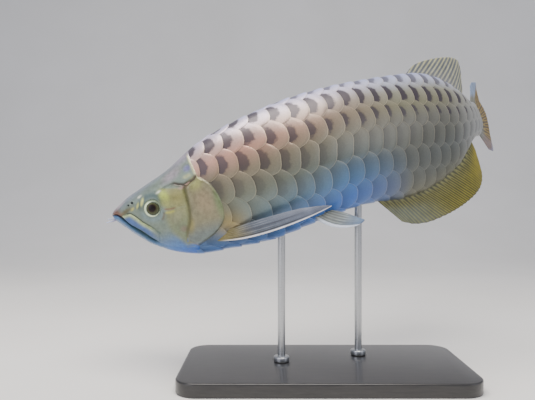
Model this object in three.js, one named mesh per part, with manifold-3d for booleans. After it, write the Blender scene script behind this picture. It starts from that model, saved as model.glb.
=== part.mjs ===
// Asian arowana, life-size still model on a plain display stand.
// Millimetres, +Z up. The head points to -X, the left side faces -Y, the tail swings away to +Y.
import * as THREE from "three";
import { mergeVertices } from "three/addons/utils/BufferGeometryUtils.js";
import Module from "manifold-3d";

const wasm = await Module();
wasm.setup();

// Driving sizes
const SNOUT = [-223, 0, 172];
const NOSE_DOWN = 15;
const GAP = 0.3;
const HEAD_FRONT = -2.6;
const HEAD_END = 126;
const HEAD_WIDER = 0.035;
const BODY_END = 512;
const TRUNK_CUTS = [206, 330, 478];
const EYE = { s: 44.7, z: -5.2, radius: 9.6, deep: 6, proud: 2.2 };
const GILL_DEEP = 19;
const PLATE_DEEP = 9;
const BASE = { length: 300, width: 150, height: 14, corner: 22 };
const ROD = { radius: 4, socketInFish: 14, socketInBase: 8, sides: 24 };
const RODS = [{ name: "front", s: 166 }, { name: "rear", s: 262 }];
// Farther out than any part of the fish, for the prisms that part it
const OUTSIDE = 60;

// The heading of the spine in degrees, by the distance from the snout
const HEADING = [[-60, 0], [125, 0], [200, 15], [280, 25], [340, 27], [420, 31], [476, 50], [520, 58],
  [640, 60]];
// Side outline above and below the snout tip
const TOP = [[-2.6, -0.4], [-1.6, 1.6], [0, 3.2], [8, 8], [20, 14], [33, 18.6], [45, 22.8], [57, 26.8],
  [69, 31.8], [82, 38.8], [95, 45.8], [108, 51.3], [132, 58.2], [155, 63.5], [180, 68.3], [204, 72],
  [230, 74.6], [255, 76.2], [285, 77.3], [320, 77.3], [365, 76.6], [392, 75], [410, 71], [426, 65], [440, 58],
  [455, 49], [470, 40], [485, 32.5], [500, 29], [530, 28]];
const BOTTOM = [[-2.6, -2], [-1.6, -4], [0, -7], [5, -13.6], [11, -20.7], [17, -27.8], [24, -35],
  [30, -40.8], [38, -46.2], [47, -52.4], [57, -57.4], [67, -61.3], [78, -64.4], [92, -66], [110, -66.6],
  [131, -68.3], [153, -69.2], [176, -67.6], [199, -64.6], [230, -61.6], [262, -60], [285, -61], [297, -62.4],
  [313, -65], [326, -66.4], [343, -66.4], [366, -64.4], [386, -60.2], [401, -55.8], [418, -50], [433, -43.6],
  [444, -37], [453, -30.5], [462, -25], [474, -20], [487, -17.5], [530, -17]];
const HALF_WIDTH = [[-2.6, 2.2], [-1.6, 4.2], [0, 6.6], [5, 10.6], [12, 14], [24, 17.8], [40, 21.5],
  [60, 25.4], [80, 28.6], [100, 31], [130, 33.6], [180, 35], [230, 34.2], [280, 31.6], [330, 27.6],
  [380, 22.6], [420, 18], [450, 14.6], [480, 11.2], [505, 8.6], [530, 6]];
// Where the section is widest, as a share of its height from the bottom
const WIDEST = [[-4, 0.6], [0, 0.62], [20, 0.72], [45, 0.74], [80, 0.62], [110, 0.53], [160, 0.5],
  [300, 0.49], [420, 0.55], [450, 0.54], [480, 0.5], [530, 0.5]];
// How full the section is above and below: 2 is an ellipse, less is a keel
const ROUND_TOP = [[-4, 2], [20, 2.3], [60, 2.5], [100, 2.25], [160, 2.1], [300, 2], [400, 1.8], [470, 1.9],
  [530, 2]];
const ROUND_BELLY = [[-4, 2], [20, 1.75], [60, 1.7], [100, 1.85], [160, 1.8], [290, 1.75], [340, 1.6],
  [400, 1.38], [440, 1.38], [475, 1.8], [530, 2]];

// Monotone cubic through a table of stations
function station(table, x) {
  const n = table.length;
  if (x <= table[0][0]) return table[0][1];
  if (x >= table[n - 1][0]) return table[n - 1][1];
  let i = 0;
  while (x > table[i + 1][0]) i += 1;
  const slope = (k) => (table[k + 1][1] - table[k][1]) / (table[k + 1][0] - table[k][0]);
  const tangent = (k) => {
    if (k === 0) return slope(0);
    if (k === n - 1) return slope(n - 2);
    const a = slope(k - 1);
    const b = slope(k);
    return a * b <= 0 ? 0 : (2 * a * b) / (a + b);
  };
  const h = table[i + 1][0] - table[i][0];
  const t = (x - table[i][0]) / h;
  const m0 = tangent(i) * h;
  const m1 = tangent(i + 1) * h;
  const t2 = t * t;
  const t3 = t2 * t;
  return (2 * t3 - 3 * t2 + 1) * table[i][1] + (t3 - 2 * t2 + t) * m0
    + (3 * t2 - 2 * t3) * table[i + 1][1] + (t3 - t2) * m1;
}

// The spine: place and heading every millimetre
const SPINE_FROM = -60;
const SPINE_TO = 660;
const SPINE = [];
{
  let x = 0;
  let y = 0;
  for (let s = SPINE_FROM; s <= SPINE_TO; s += 1) {
    const a = THREE.MathUtils.degToRad(station(HEADING, s));
    SPINE.push([x, y, a]);
    x += Math.cos(a);
    y += Math.sin(a);
  }
  const zero = SPINE[-SPINE_FROM].slice();
  SPINE.forEach((p) => {
    p[0] -= zero[0];
    p[1] -= zero[1];
  });
}
const PITCH = THREE.MathUtils.degToRad(NOSE_DOWN);

// From the straight fish (s back from the snout, y to its right, z up) to the posed fish
function pose(s, y, z) {
  const at = Math.min(Math.max(s - SPINE_FROM, 0), SPINE.length - 2);
  const i = Math.floor(at);
  const f = at - i;
  const px = SPINE[i][0] + f * (SPINE[i + 1][0] - SPINE[i][0]);
  const py = SPINE[i][1] + f * (SPINE[i + 1][1] - SPINE[i][1]);
  const a = SPINE[i][2] + f * (SPINE[i + 1][2] - SPINE[i][2]);
  const fx = px - y * Math.sin(a);
  const fy = py + y * Math.cos(a);
  return [
    SNOUT[0] + fx * Math.cos(PITCH) - z * Math.sin(PITCH),
    SNOUT[1] + fy,
    SNOUT[2] + fx * Math.sin(PITCH) + z * Math.cos(PITCH),
  ];
}

// A point a share t of the way from a to b
const mixed = (a, b, t) => a.map((q, i) => q + (b[i] - q) * t);

// Half section at s, as points from the back down the left side to the belly
function section(s, n) {
  const top = station(TOP, s);
  const bottom = station(BOTTOM, s);
  const w = station(HALF_WIDTH, s);
  const zc = bottom + (top - bottom) * station(WIDEST, s);
  const nt = station(ROUND_TOP, s);
  const nb = station(ROUND_BELLY, s);
  const pts = [];
  for (let i = 0; i <= n; i += 1) {
    const a = (Math.PI * i) / n;
    const c = Math.cos(a);
    const e = c >= 0 ? nt : nb;
    const h = c >= 0 ? top - zc : zc - bottom;
    const y = i === 0 || i === n ? 0 : -w * Math.pow(Math.sin(a), 2 / e);
    pts.push([y, zc + Math.sign(c) * h * Math.pow(Math.abs(c), 2 / e)]);
  }
  return pts;
}

// Faces, solids and meshes
const SAME_POINT = 1e-4;
function geometryOf(points, faces) {
  const g = new THREE.BufferGeometry();
  g.setAttribute("position", new THREE.Float32BufferAttribute(points.flat(), 3));
  g.setIndex(faces.flat());
  return g;
}
function solid(geometry) {
  const bare = geometry.clone();
  bare.deleteAttribute("normal");
  bare.deleteAttribute("uv");
  const merged = mergeVertices(bare, SAME_POINT);
  return new wasm.Manifold(new wasm.Mesh({
    numProp: 3,
    vertProperties: merged.attributes.position.array,
    triVerts: new Uint32Array(merged.index.array),
  }));
}
function largest(made) {
  return made.decompose().sort((a, b) => b.volume() - a.volume())[0];
}
function meshOf(name, made, material) {
  const m = made.getMesh();
  const g = new THREE.BufferGeometry();
  g.setAttribute("position", new THREE.BufferAttribute(new Float32Array(m.vertProperties), 3));
  g.setIndex(new THREE.BufferAttribute(new Uint32Array(m.triVerts), 1));
  g.computeVertexNormals();
  const mesh = new THREE.Mesh(g, material);
  mesh.name = name;
  return mesh;
}
// Rings of equal length joined into a closed skin, both ends closed by a fan
function rings(list) {
  const n = list[0].length;
  const points = list.flat();
  const faces = [];
  for (let i = 0; i < list.length - 1; i += 1) {
    for (let j = 0; j < n; j += 1) {
      const k = (j + 1) % n;
      const a = i * n + j;
      const b = i * n + k;
      const c = (i + 1) * n + k;
      const d = (i + 1) * n + j;
      faces.push([a, b, c], [a, c, d]);
    }
  }
  [0, list.length - 1].forEach((i) => {
    const mid = [0, 1, 2].map((q) => list[i].reduce((t, p) => t + p[q], 0) / n);
    points.push(mid);
    for (let j = 0; j < n; j += 1) {
      const a = i * n + j;
      const b = i * n + ((j + 1) % n);
      faces.push(i === 0 ? [b, a, points.length - 1] : [a, b, points.length - 1]);
    }
  });
  return geometryOf(points, faces);
}
// A closed surface as a solid, turned inside out if its faces look inwards
function facingOut(geometry) {
  const made = solid(geometry);
  if (made.volume() > 0) return made;
  const turned = geometry.clone();
  const corners = turned.index.array;
  for (let i = 0; i < corners.length; i += 3) {
    [corners[i], corners[i + 1]] = [corners[i + 1], corners[i]];
  }
  return solid(turned);
}
// Smooth stretch of the body between two stations, its rings closer together in front
function bodyLoft({ from, to, steps, around, wider, crowding }) {
  const list = [];
  for (let i = 0; i <= steps; i += 1) {
    const s = from + (to - from) * Math.pow(i / steps, crowding);
    const left = section(s, around);
    const ring = left.concat(left.slice(1, -1).reverse().map((p) => [-p[0], p[1]]));
    list.push(ring.map((p) => pose(s, p[0] * (1 + wider), p[1])));
  }
  return facingOut(rings(list));
}

// Scales in oblique rows: a row's number counts up from the line between rows 0 and -1 on the flank,
// a scale's number counts back from the gill slit, and every other row is set back by half a scale
const SCALES = { first: -2, last: 20, low: -5, high: 3 };
const SCALE = { rise: 0.9, riseAtTail: 0.55, cornerAt: 0.3725, bulge: 1.5, middleAt: 0.5, middleLevel: 2.4 };
const FLANK_LINE = [[60, 34], [125, 32], [160, 27.5], [185, 21], [215, 17.5], [260, 18.8], [300, 18],
  [350, 13], [390, 7], [430, 2.5], [480, 4], [530, 5.5]];
const ROW_HEIGHT = [[60, 24], [140, 26], [200, 28], [330, 26.5], [400, 25], [450, 21], [480, 17.5],
  [530, 15]];
const SCALE_EDGE = [[-4, 51], [-1, 111], [0, 131], [12, 371], [13, 390.5], [14, 409], [15, 427], [16, 444],
  [17, 460], [18, 475], [19, 489], [20, 502], [21, 514], [22, 526]];
// The lower rows lag a little behind the upper ones
const LAG = [[120, 0], [150, -1], [230, -8], [330, -9], [420, -5], [500, -2]];

// Half girth at s, with the arc measured from the flank line: up is positive
const GIRTH_STEPS = 72;
function girth(s) {
  const pts = section(s, GIRTH_STEPS);
  const arc = [0];
  for (let i = 1; i < pts.length; i += 1) {
    arc.push(arc[i - 1] + Math.hypot(pts[i][0] - pts[i - 1][0], pts[i][1] - pts[i - 1][1]));
  }
  const level = station(FLANK_LINE, s);
  let i = 0;
  while (pts[i + 1][1] > level) i += 1;
  const f = (pts[i][1] - level) / (pts[i][1] - pts[i + 1][1]);
  return { pts, arc, zero: arc[i] + f * (arc[i + 1] - arc[i]), whole: arc[arc.length - 1] };
}
const girths = new Map();
const GIRTHS_PER_MM = 64;
const OVERRUN = 9;
// Point of the bare skin at s and arc a; beyond the middle line it runs on a little over the other side
function skinPoint(s, a) {
  const key = Math.round(s * GIRTHS_PER_MM);
  if (!girths.has(key)) girths.set(key, girth(key / GIRTHS_PER_MM));
  const g = girths.get(key);
  let down = g.zero - a;
  let flip = 1;
  if (down < 0) {
    down = OVERRUN * (1 - Math.exp(down / OVERRUN));
    flip = -1;
  } else if (down > g.whole) {
    down = g.whole - OVERRUN * (1 - Math.exp((g.whole - down) / OVERRUN));
    flip = -1;
  }
  let i = 0;
  while (i < g.arc.length - 2 && g.arc[i + 1] < down) i += 1;
  const f = (down - g.arc[i]) / (g.arc[i + 1] - g.arc[i]);
  const [y, z] = mixed(g.pts[i], g.pts[i + 1], f);
  return [s, flip * y, z];
}
function skinNormal(s, a) {
  const e = 0.6;
  const vector = (p) => new THREE.Vector3(...p);
  const along = vector(skinPoint(s + e, a)).sub(vector(skinPoint(s - e, a)));
  const up = vector(skinPoint(s, a + e)).sub(vector(skinPoint(s, a - e)));
  return along.cross(up).normalize();
}

// Left half of the scaled body, closed along a line just right of the middle
function scaledHalf() {
  const points = [];
  const stations = [];
  const faces = [];
  const known = new Map();
  const place = (key, q, row, level, back) => {
    const id = key + ":" + level;
    if (known.has(id)) return known.get(id);
    const flat = station(SCALE_EDGE, q);
    const a = row * station(ROW_HEIGHT, flat);
    const s = flat + back + station(LAG, flat) * THREE.MathUtils.smoothstep(-a, -8, 20);
    const rise = station([[300, SCALE.rise], [500, SCALE.riseAtTail]], s);
    const base = new THREE.Vector3(...skinPoint(s, a));
    base.addScaledVector(skinNormal(s, a), (level * rise) / 4);
    known.set(id, points.length);
    points.push(base.toArray());
    stations.push(q);
    return points.length - 1;
  };
  // Corners by the row and scale whose free edge they end; levels are quarters of the rise
  const upper = (r, q, level) => place("u" + r + "," + q, q, r + 0.5 + SCALE.cornerAt, level, 0);
  const lower = (r, q, level) => place("l" + r + "," + q, q, r + 0.5 - SCALE.cornerAt, level, 0);
  const edge = (r, q, level) => place("m" + r + "," + q, q, r + 0.5, level, SCALE.bulge);
  const inner = (r, q) => place("i" + r + "," + q, q - SCALE.middleAt, r + 0.5, SCALE.middleLevel, 0);
  const cells = new Set();
  for (let r = SCALES.low; r <= SCALES.high; r += 1) {
    for (let k = SCALES.first; k <= SCALES.last; k += 1) cells.add(r + "," + (k + (r % 2 === 0 ? 0 : 0.5)));
  }
  const has = (r, q) => cells.has(r + "," + q);
  for (const cell of cells) {
    const [r, q] = cell.split(",").map(Number);
    const loop = [
      edge(r, q - 1, 0), lower(r, q - 1, 0), upper(r - 1, q - 0.5, 2), lower(r, q, 4),
      edge(r, q, 4), upper(r, q, 4), lower(r + 1, q - 0.5, 2), upper(r, q - 1, 0),
    ];
    const middle = inner(r, q);
    loop.forEach((a, i) => faces.push([middle, a, loop[(i + 1) % loop.length]]));
    // Steps down to the scales behind
    if (has(r, q + 1)) {
      const [l0, l2, l4] = [0, 2, 4].map((v) => lower(r, q, v));
      const [u0, u2, u4] = [0, 2, 4].map((v) => upper(r, q, v));
      const [m0, m4] = [0, 4].map((v) => edge(r, q, v));
      faces.push([l2, l0, m0], [l2, m0, m4], [l2, m4, l4], [m0, u0, u2], [m0, u2, m4], [m4, u2, u4]);
    }
    const step = (a, b, c, d) => faces.push([a, b, c], [a, c, d]);
    if (has(r + 1, q + 0.5)) {
      step(upper(r, q, 2), lower(r + 1, q - 0.5, 0), lower(r + 1, q - 0.5, 2), upper(r, q, 4));
    }
    if (has(r - 1, q + 0.5)) {
      step(upper(r - 1, q - 0.5, 0), lower(r, q, 2), lower(r, q, 4), upper(r - 1, q - 0.5, 2));
    }
  }
  // Close the open border onto a line inside the right half
  const RIGHT_OF_MIDDLE = 3;
  const axis = new Map();
  const inside = (i) => {
    const q = THREE.MathUtils.clamp(stations[i], SCALES.first, SCALES.last);
    if (!axis.has(q)) {
      const beyond = new Map([[SCALES.first, -1], [SCALES.last, 0.5]]);
      const s = station(SCALE_EDGE, q + (beyond.get(q) || 0));
      axis.set(q, points.length);
      points.push([s, RIGHT_OF_MIDDLE, (station(TOP, s) + station(BOTTOM, s)) / 2]);
    }
    return axis.get(q);
  };
  const used = new Set(faces.flatMap((f) => [0, 1, 2].map((k) => f[k] + "," + f[(k + 1) % 3])));
  const ends = [...used].map((e) => e.split(",").map(Number));
  const border = ends.filter(([a, b]) => !used.has(b + "," + a));
  border.forEach(([a, b]) => {
    const [ia, ib] = [inside(a), inside(b)];
    faces.push([b, a, ia]);
    if (ia !== ib) faces.push([b, ia, ib]);
  });
  return facingOut(geometryOf(points, faces)).trimByPlane([0, -1, 0], 0);
}
// A solid of the straight fish carried into the pose
const posed = (made) => made.warp((v) => {
  const p = pose(v[0], v[1], v[2]);
  v[0] = p[0];
  v[1] = p[1];
  v[2] = p[2];
});

// Prism across the fish from an outline in (s, z), between two values of y
function across(outline, y0, y1) {
  const front = outline.map((p) => pose(p[0], y0, p[1]));
  const back = outline.map((p) => pose(p[0], y1, p[1]));
  const flat = outline.map((p) => new THREE.Vector2(p[0], p[1]));
  const caps = THREE.ShapeUtils.triangulateShape(flat, []);
  const n = outline.length;
  const faces = [];
  caps.forEach((t) => {
    faces.push([t[0], t[1], t[2]], [t[2] + n, t[1] + n, t[0] + n]);
  });
  const turn = THREE.ShapeUtils.area(flat) > 0;
  for (let i = 0; i < n; i += 1) {
    const k = (i + 1) % n;
    const quad = turn ? [[i, i + n, k + n], [i, k + n, k]] : [[i, k + n, i + n], [i, k, k + n]];
    faces.push(...quad);
  }
  return facingOut(geometryOf(front.concat(back), faces));
}
const through = (outline) => across(outline, -OUTSIDE, OUTSIDE);
// The outline pushed out by d, each corner along its own bisector
const SHARPEST = 0.4;
function grown(outline, d) {
  const n = outline.length;
  const area = THREE.ShapeUtils.area(outline.map((p) => new THREE.Vector2(p[0], p[1])));
  const side = area > 0 ? 1 : -1;
  return outline.map((p, i) => {
    const a = outline[(i + n - 1) % n];
    const b = outline[(i + 1) % n];
    const u = new THREE.Vector2(p[0] - a[0], p[1] - a[1]).normalize();
    const v = new THREE.Vector2(b[0] - p[0], b[1] - p[1]).normalize();
    const m = new THREE.Vector2(side * (u.y + v.y), -side * (u.x + v.x)).normalize();
    const k = d / Math.max(SHARPEST, m.x * side * u.y - m.y * side * u.x);
    return [p[0] + m.x * k, p[1] + m.y * k];
  });
}
// Thin slab square to the spine, taller than the fish
function slab(s, thick) {
  const tall = 130;
  const wide = OUTSIDE;
  const list = [s - thick / 2, s + thick / 2].map((q) => [
    pose(q, -wide, -tall), pose(q, wide, -tall), pose(q, wide, tall), pose(q, -wide, tall),
  ]);
  return facingOut(rings(list));
}
// A ball flattened across the fish
function ball({ s, y, z, radius, deep, fine }) {
  const g = new THREE.SphereGeometry(1, fine, fine / 2).toNonIndexed();
  g.deleteAttribute("normal");
  g.deleteAttribute("uv");
  g.rotateX(Math.PI / 2);
  const p = g.attributes.position;
  for (let i = 0; i < p.count; i += 1) {
    p.setXYZ(i, ...pose(s + radius * p.getX(i), y + deep * p.getZ(i), z + radius * p.getY(i)));
  }
  return facingOut(mergeVertices(g, SAME_POINT));
}
// Round tapering tube along a line of points of the straight fish
const TUBE = { steps: 8, sides: 6 };
function tube(line, radius) {
  const curve = new THREE.CatmullRomCurve3(line.map((p) => new THREE.Vector3(...pose(...p))));
  const frames = curve.computeFrenetFrames(TUBE.steps, false);
  const list = [];
  for (let i = 0; i <= TUBE.steps; i += 1) {
    const c = curve.getPointAt(i / TUBE.steps);
    const r = radius(i / TUBE.steps);
    const ring = [];
    for (let j = 0; j < TUBE.sides; j += 1) {
      const a = (2 * Math.PI * j) / TUBE.sides;
      const q = c.clone()
        .addScaledVector(frames.normals[i], r * Math.cos(a))
        .addScaledVector(frames.binormals[i], r * Math.sin(a));
      ring.push(q.toArray());
    }
    list.push(ring);
  }
  return facingOut(rings(list));
}

// A fin: rays fan from a root line to a rim line; at(u, v) gives the middle of the blade and side(u, v)
// the way its left face looks, both in the straight fish. Ridges stand up along each ray, lower towards
// the rim, and the first and the last edge are thinner. A fin grown by a gap is the slot it stands in.
const RIDGE = { height: 0.22, lostAtRim: 0.7 };
const EDGE_THINNED = 0.75;
const SLOT_ENDS = 1.3;
function fin(shape, grow) {
  const cols = shape.rays * 2;
  const rows = shape.rows;
  const points = [];
  const faces = [];
  const at = (i, j, face) => (j * (cols + 1) + i) * 2 + face;
  for (let j = 0; j <= rows; j += 1) {
    const v = j / rows;
    for (let i = 0; i <= cols; i += 1) {
      const u = i / cols;
      const atEdge = i === 0 || i === cols;
      const ridge = i % 2 === 1 || grow > 0 ? RIDGE.height * (1 - RIDGE.lostAtRim * v) : 0;
      const thick = (shape.thick * (1 - v) + shape.tip * v) * (atEdge ? EDGE_THINNED : 1);
      const half = thick / 2 + ridge + grow;
      const middle = new THREE.Vector3(...shape.at(u, v, grow));
      const side = new THREE.Vector3(...shape.side(u, v));
      if (grow > 0 && atEdge) {
        const inner = new THREE.Vector3(...shape.at(i === 0 ? 0.04 : 0.96, v, grow));
        middle.addScaledVector(middle.clone().sub(inner).normalize(), SLOT_ENDS * grow);
      }
      [half, -half].forEach((h) => {
        points.push(pose(...middle.clone().addScaledVector(side, h).toArray()));
      });
    }
  }
  for (let j = 0; j < rows; j += 1) {
    for (let i = 0; i < cols; i += 1) {
      const corners = (f) => [at(i, j, f), at(i + 1, j, f), at(i + 1, j + 1, f), at(i, j + 1, f)];
      const left = corners(0);
      const right = corners(1);
      faces.push([left[0], left[1], left[2]], [left[0], left[2], left[3]]);
      faces.push([right[0], right[2], right[1]], [right[0], right[3], right[2]]);
    }
  }
  for (let i = 0; i < cols; i += 1) {
    faces.push([at(i, 0, 0), at(i, 0, 1), at(i + 1, 0, 1)], [at(i, 0, 0), at(i + 1, 0, 1), at(i + 1, 0, 0)]);
    faces.push([at(i, rows, 0), at(i + 1, rows, 1), at(i, rows, 1)]);
    faces.push([at(i, rows, 0), at(i + 1, rows, 0), at(i + 1, rows, 1)]);
  }
  for (let j = 0; j < rows; j += 1) {
    faces.push([at(0, j, 0), at(0, j + 1, 0), at(0, j + 1, 1)], [at(0, j, 0), at(0, j + 1, 1), at(0, j, 1)]);
    faces.push([at(cols, j, 0), at(cols, j, 1), at(cols, j + 1, 1)]);
    faces.push([at(cols, j, 0), at(cols, j + 1, 1), at(cols, j + 1, 0)]);
  }
  return facingOut(geometryOf(points, faces));
}
const flatSide = () => [0, -1, 0];
// A fin standing in the middle plane between a root line and a rim line, each a table of (u, s, z)
function planeFin(root, rim, sink, settings) {
  const tableOf = (rows, k) => rows.map((r) => [r[0], r[k]]);
  return {
    ...settings,
    at: (u, v, grow) => {
      const a = [station(tableOf(root, 1), u), 0, station(tableOf(root, 2), u)];
      const b = [station(tableOf(rim, 1), u), 0, station(tableOf(rim, 2), u)];
      const len = Math.hypot(b[0] - a[0], b[2] - a[2]);
      const t0 = -(sink + grow) / len;
      return mixed(a, b, t0 + (1 - t0) * v);
    },
    side: flatSide,
  };
}
const DORSAL = planeFin(
  [[0, 378, 75.8], [0.11, 391, 74.7], [0.29, 410, 70.6], [0.45, 426, 64.6], [0.6, 440, 57.6],
    [0.76, 455, 48.6], [1, 477, 36.4]],
  [[0, 386, 81.5], [0.05, 398, 86.5], [0.15, 417, 89.3], [0.29, 440, 90.3], [0.45, 465, 90.5], [0.6, 489, 89],
    [0.7, 502, 84.5], [0.8, 502, 75.5], [0.89, 493, 62], [1, 485, 46]],
  9,
  { rays: 16, rows: 3, thick: 1.5, tip: 0.6 },
);
const ANAL = planeFin(
  [[0, 288, -60.6], [0.094, 309, -63.6], [0.17, 325, -65.4], [0.27, 343, -65.4], [0.404, 366, -63.4],
    [0.52, 386, -59.2], [0.61, 401, -54.8], [0.708, 418, -49], [0.795, 433, -42.6], [0.86, 444, -36],
    [0.912, 453, -29.8], [0.953, 460, -25.4], [1, 468, -21.6]],
  [[0, 315, -92.5], [0.094, 335, -100.3], [0.17, 357, -102.8], [0.27, 382, -101.5], [0.404, 408, -98],
    [0.52, 428, -93.5], [0.61, 445, -88.5], [0.708, 461, -81.5], [0.795, 472, -72.5], [0.86, 476, -63.5],
    [0.912, 476, -54], [0.953, 475, -45], [1, 473.5, -33]],
  8,
  { rays: 24, rows: 3, thick: 1.5, tip: 0.6 },
);
const CAUDAL = planeFin(
  [[0, 507, 29], [0.25, 512, 17], [0.5, 513, 5.5], [0.75, 512, -6], [1, 507, -17]],
  [[0, 532, 53], [0.06, 556, 59], [0.13, 584, 59.5], [0.24, 573, 46], [0.36, 572, 33], [0.47, 592, 20],
    [0.57, 600, 9], [0.68, 597, -5], [0.78, 588, -19], [0.88, 584, -34], [0.94, 577, -44], [1, 545, -40]],
  5,
  { rays: 14, rows: 4, thick: 1.7, tip: 0.6 },
);
// Paired fins, given for the left side and mirrored for the right: the corners of a curved leading edge
// and of a curved trailing edge
const PECTORAL = {
  rays: 7,
  rows: 7,
  thick: 1.9,
  tip: 0.6,
  lead: [[96, -13, -54.5], [128, -36, -63.5], [168, -45, -61], [212, -44.5, -50.5]],
  trail: [[105, -15, -47], [124, -29, -46], [152, -37, -43], [184, -41, -44.5]],
};
const PELVIC = {
  rays: 6,
  rows: 5,
  thick: 1.6,
  tip: 0.6,
  lead: [[202, -10, -56], [207, -20, -72], [222, -26, -79], [240, -28, -78.5]],
  trail: [[222, -11, -55], [231, -18, -60], [239, -23, -65.5], [244, -26, -72]],
};
// The right one is held closer to the belly
const PELVIC_FOLDED = {
  ...PELVIC,
  lead: [[206, -10, -56], [214, -20, -67], [231, -26, -73], [249, -28, -73.5]],
  trail: [[226, -11, -55], [236, -18, -59], [245, -23, -63.5], [252, -26, -68]],
};
const PAIRED = { bulge: 2.5, fullness: 6, slotReach: 40 };
function bezier(corners, t) {
  const flat = corners.map((p) => new THREE.Vector3(...p));
  return new THREE.CubicBezierCurve3(...flat).getPoint(t).toArray();
}
function pairedFin(settings) {
  const at = (u, v, grow) => {
    const w = v - grow / PAIRED.slotReach;
    const [s, y, z] = mixed(bezier(settings.lead, w), bezier(settings.trail, w), u);
    const swell = Math.sin(Math.PI * u) * v;
    return [s + PAIRED.fullness * swell * v, y - PAIRED.bulge * swell, z];
  };
  const side = (u, v) => {
    const e = 0.02;
    const within = (x) => THREE.MathUtils.clamp(x, 0, 1);
    const vector = (uu, vv) => new THREE.Vector3(...at(within(uu), within(vv), 0));
    const along = vector(u + e, v).sub(vector(u - e, v));
    const out = vector(u, v + e).sub(vector(u, v - e));
    const square = along.cross(out).normalize();
    return (square.y > 0 ? square.negate() : square).toArray();
  };
  return { ...settings, at, side };
}
// The same fin on the right side
function mirrored(shape) {
  return {
    ...shape,
    at: (u, v, grow) => {
      const p = shape.at(u, v, grow);
      return [p[0], -p[1], p[2]];
    },
    side: (u, v) => {
      const d = shape.side(u, v);
      return [d[0], -d[1], d[2]];
    },
  };
}

// Outlines on the head, in (s, z)
const SLIT = [[-8, 0.5], [2, -1.5], [6, -3.5], [11.4, -9.9], [16.6, -17.2], [23, -23.8], [28.6, -30.1],
  [34, -36.3], [41, -42.3]];
const JAW_BACK = [[44, -47], [46, -62], [-30, -62], [-30, 0.5]];
const MAXILLA_TOP = [[44.4, -32.1], [36.8, -23.3], [30.2, -16.8], [24.2, -9.2], [18.2, -4.4], [10.5, -4.6]];
const GILL_EDGE = [[96, 14.2], [106.7, 3.7], [111.6, -8], [113, -20], [111.7, -30], [104, -41.5],
  [93.5, -49.5], [84, -53.5]];
const GILL_FRONT = [[72, -48], [76, -37], [79.6, -26], [81.6, -13], [80.9, 4.3], [86, 10]];
const NAPE = [[94, 80], [94.5, 35]];
const HEAD_REST = [[80, -58], [72, -90], [-40, -90], [-40, 80]];
const shifted = (line, ds, dz) => line.map(([s, z]) => [s + ds, z + dz]);

const jawOutline = SLIT.concat(JAW_BACK);
const maxillaOutline = MAXILLA_TOP.concat(shifted(SLIT.slice(3), 0.5, 0.5));
const gillOutline = GILL_EDGE.concat(GILL_FRONT);
const headOutline = NAPE.concat(shifted(GILL_EDGE, 0.2, -0.1), HEAD_REST);
const behindBody = [[BODY_END, -60], [BODY_END + 60, -60], [BODY_END + 60, 90], [BODY_END, 90]];

// Colour, roughness and metalness of each finish
const FINISHES = {
  scales: [0xb9b4c4, 0.32, 0.45],
  head: [0xa9a48f, 0.35, 0.4],
  gill: [0xb3a878, 0.32, 0.45],
  jaw: [0xa7a2a8, 0.4, 0.3],
  eye: [0x2a2418, 0.1, 0],
  fin: [0xa9a184, 0.45, 0.1],
  caudal: [0xa5813f, 0.45, 0.1],
  anal: [0x8f8a55, 0.45, 0.1],
  barbel: [0x8c8290, 0.5, 0.05],
  stand: [0x2b2b2e, 0.35, 0],
  rod: [0xb8babd, 0.3, 1],
};
function finish(key) {
  const [color, roughness, metalness] = FINISHES[key];
  return new THREE.MeshStandardMaterial({ color, roughness, metalness });
}

const model = new THREE.Group();
model.name = "asian_arowana";
const put = (name, made, key) => model.add(meshOf(name, made, finish(key)));

// Body in one piece, then parted
let head = bodyLoft({
  from: HEAD_FRONT,
  to: HEAD_END,
  steps: 25,
  around: 18,
  wider: HEAD_WIDER,
  crowding: 1.35,
});
const leftTorso = scaledHalf();
let torso = posed(leftTorso.add(leftTorso.mirror([0, 1, 0])));
torso = largest(torso.subtract(through(behindBody)));
head = largest(head.intersect(through(headOutline)));
torso = largest(torso.subtract(through(grown(headOutline, GAP))));

// Eyes
const SIDES = [["left", -1], ["right", 1]];
// How far out the head's surface lies at (s, z)
function surfaceY(s, z) {
  const left = section(s, 80);
  const i = left.findIndex((p) => p[1] <= z);
  return Math.abs(left[i][0]) * (1 + HEAD_WIDER);
}
const eyeY = surfaceY(EYE.s, EYE.z) / (1 + HEAD_WIDER) + EYE.proud - EYE.deep;
const eyeBall = (k, grow) => ball({
  s: EYE.s,
  y: k * eyeY,
  z: EYE.z,
  radius: EYE.radius + grow,
  deep: EYE.deep + grow,
  fine: 16,
});
SIDES.forEach(([, k]) => {
  head = head.subtract(eyeBall(k, GAP));
});

// Nostrils, and the grooves between the plates of the cheek and temple
const NOSTRILS = [[24.6, 5.6, 1.25], [20.2, 4.2, 0.9]];
const NOSTRIL_DEEP = 1.6;
const GROOVES = [
  [[53.5, -9.6], [60, -8.4], [67, -8.8], [73, -10.2], [79, -11.5]],
  [[54.5, 6.5], [62, 9.8], [70, 10.6], [78, 11.4], [86, 13.2], [93, 14.6]],
  [[47, -15.5], [51.5, -20.5], [55.5, -27], [59, -34.5], [63, -41]],
];
const GROOVE = { radius: 1.15, lift: 0.35 };
const grooveRadius = (t) => GROOVE.radius * Math.sin(Math.PI * (0.12 + 0.76 * t));
SIDES.forEach(([, k]) => {
  NOSTRILS.forEach(([s, z, radius]) => {
    head = head.subtract(ball({ s, y: k * surfaceY(s, z), z, radius, deep: NOSTRIL_DEEP, fine: 8 }));
  });
  GROOVES.forEach((line) => {
    const path = line.map(([s, z]) => [s, k * (surfaceY(s, z) + GROOVE.lift), z]);
    head = head.subtract(tube(path, grooveRadius));
  });
});

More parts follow.
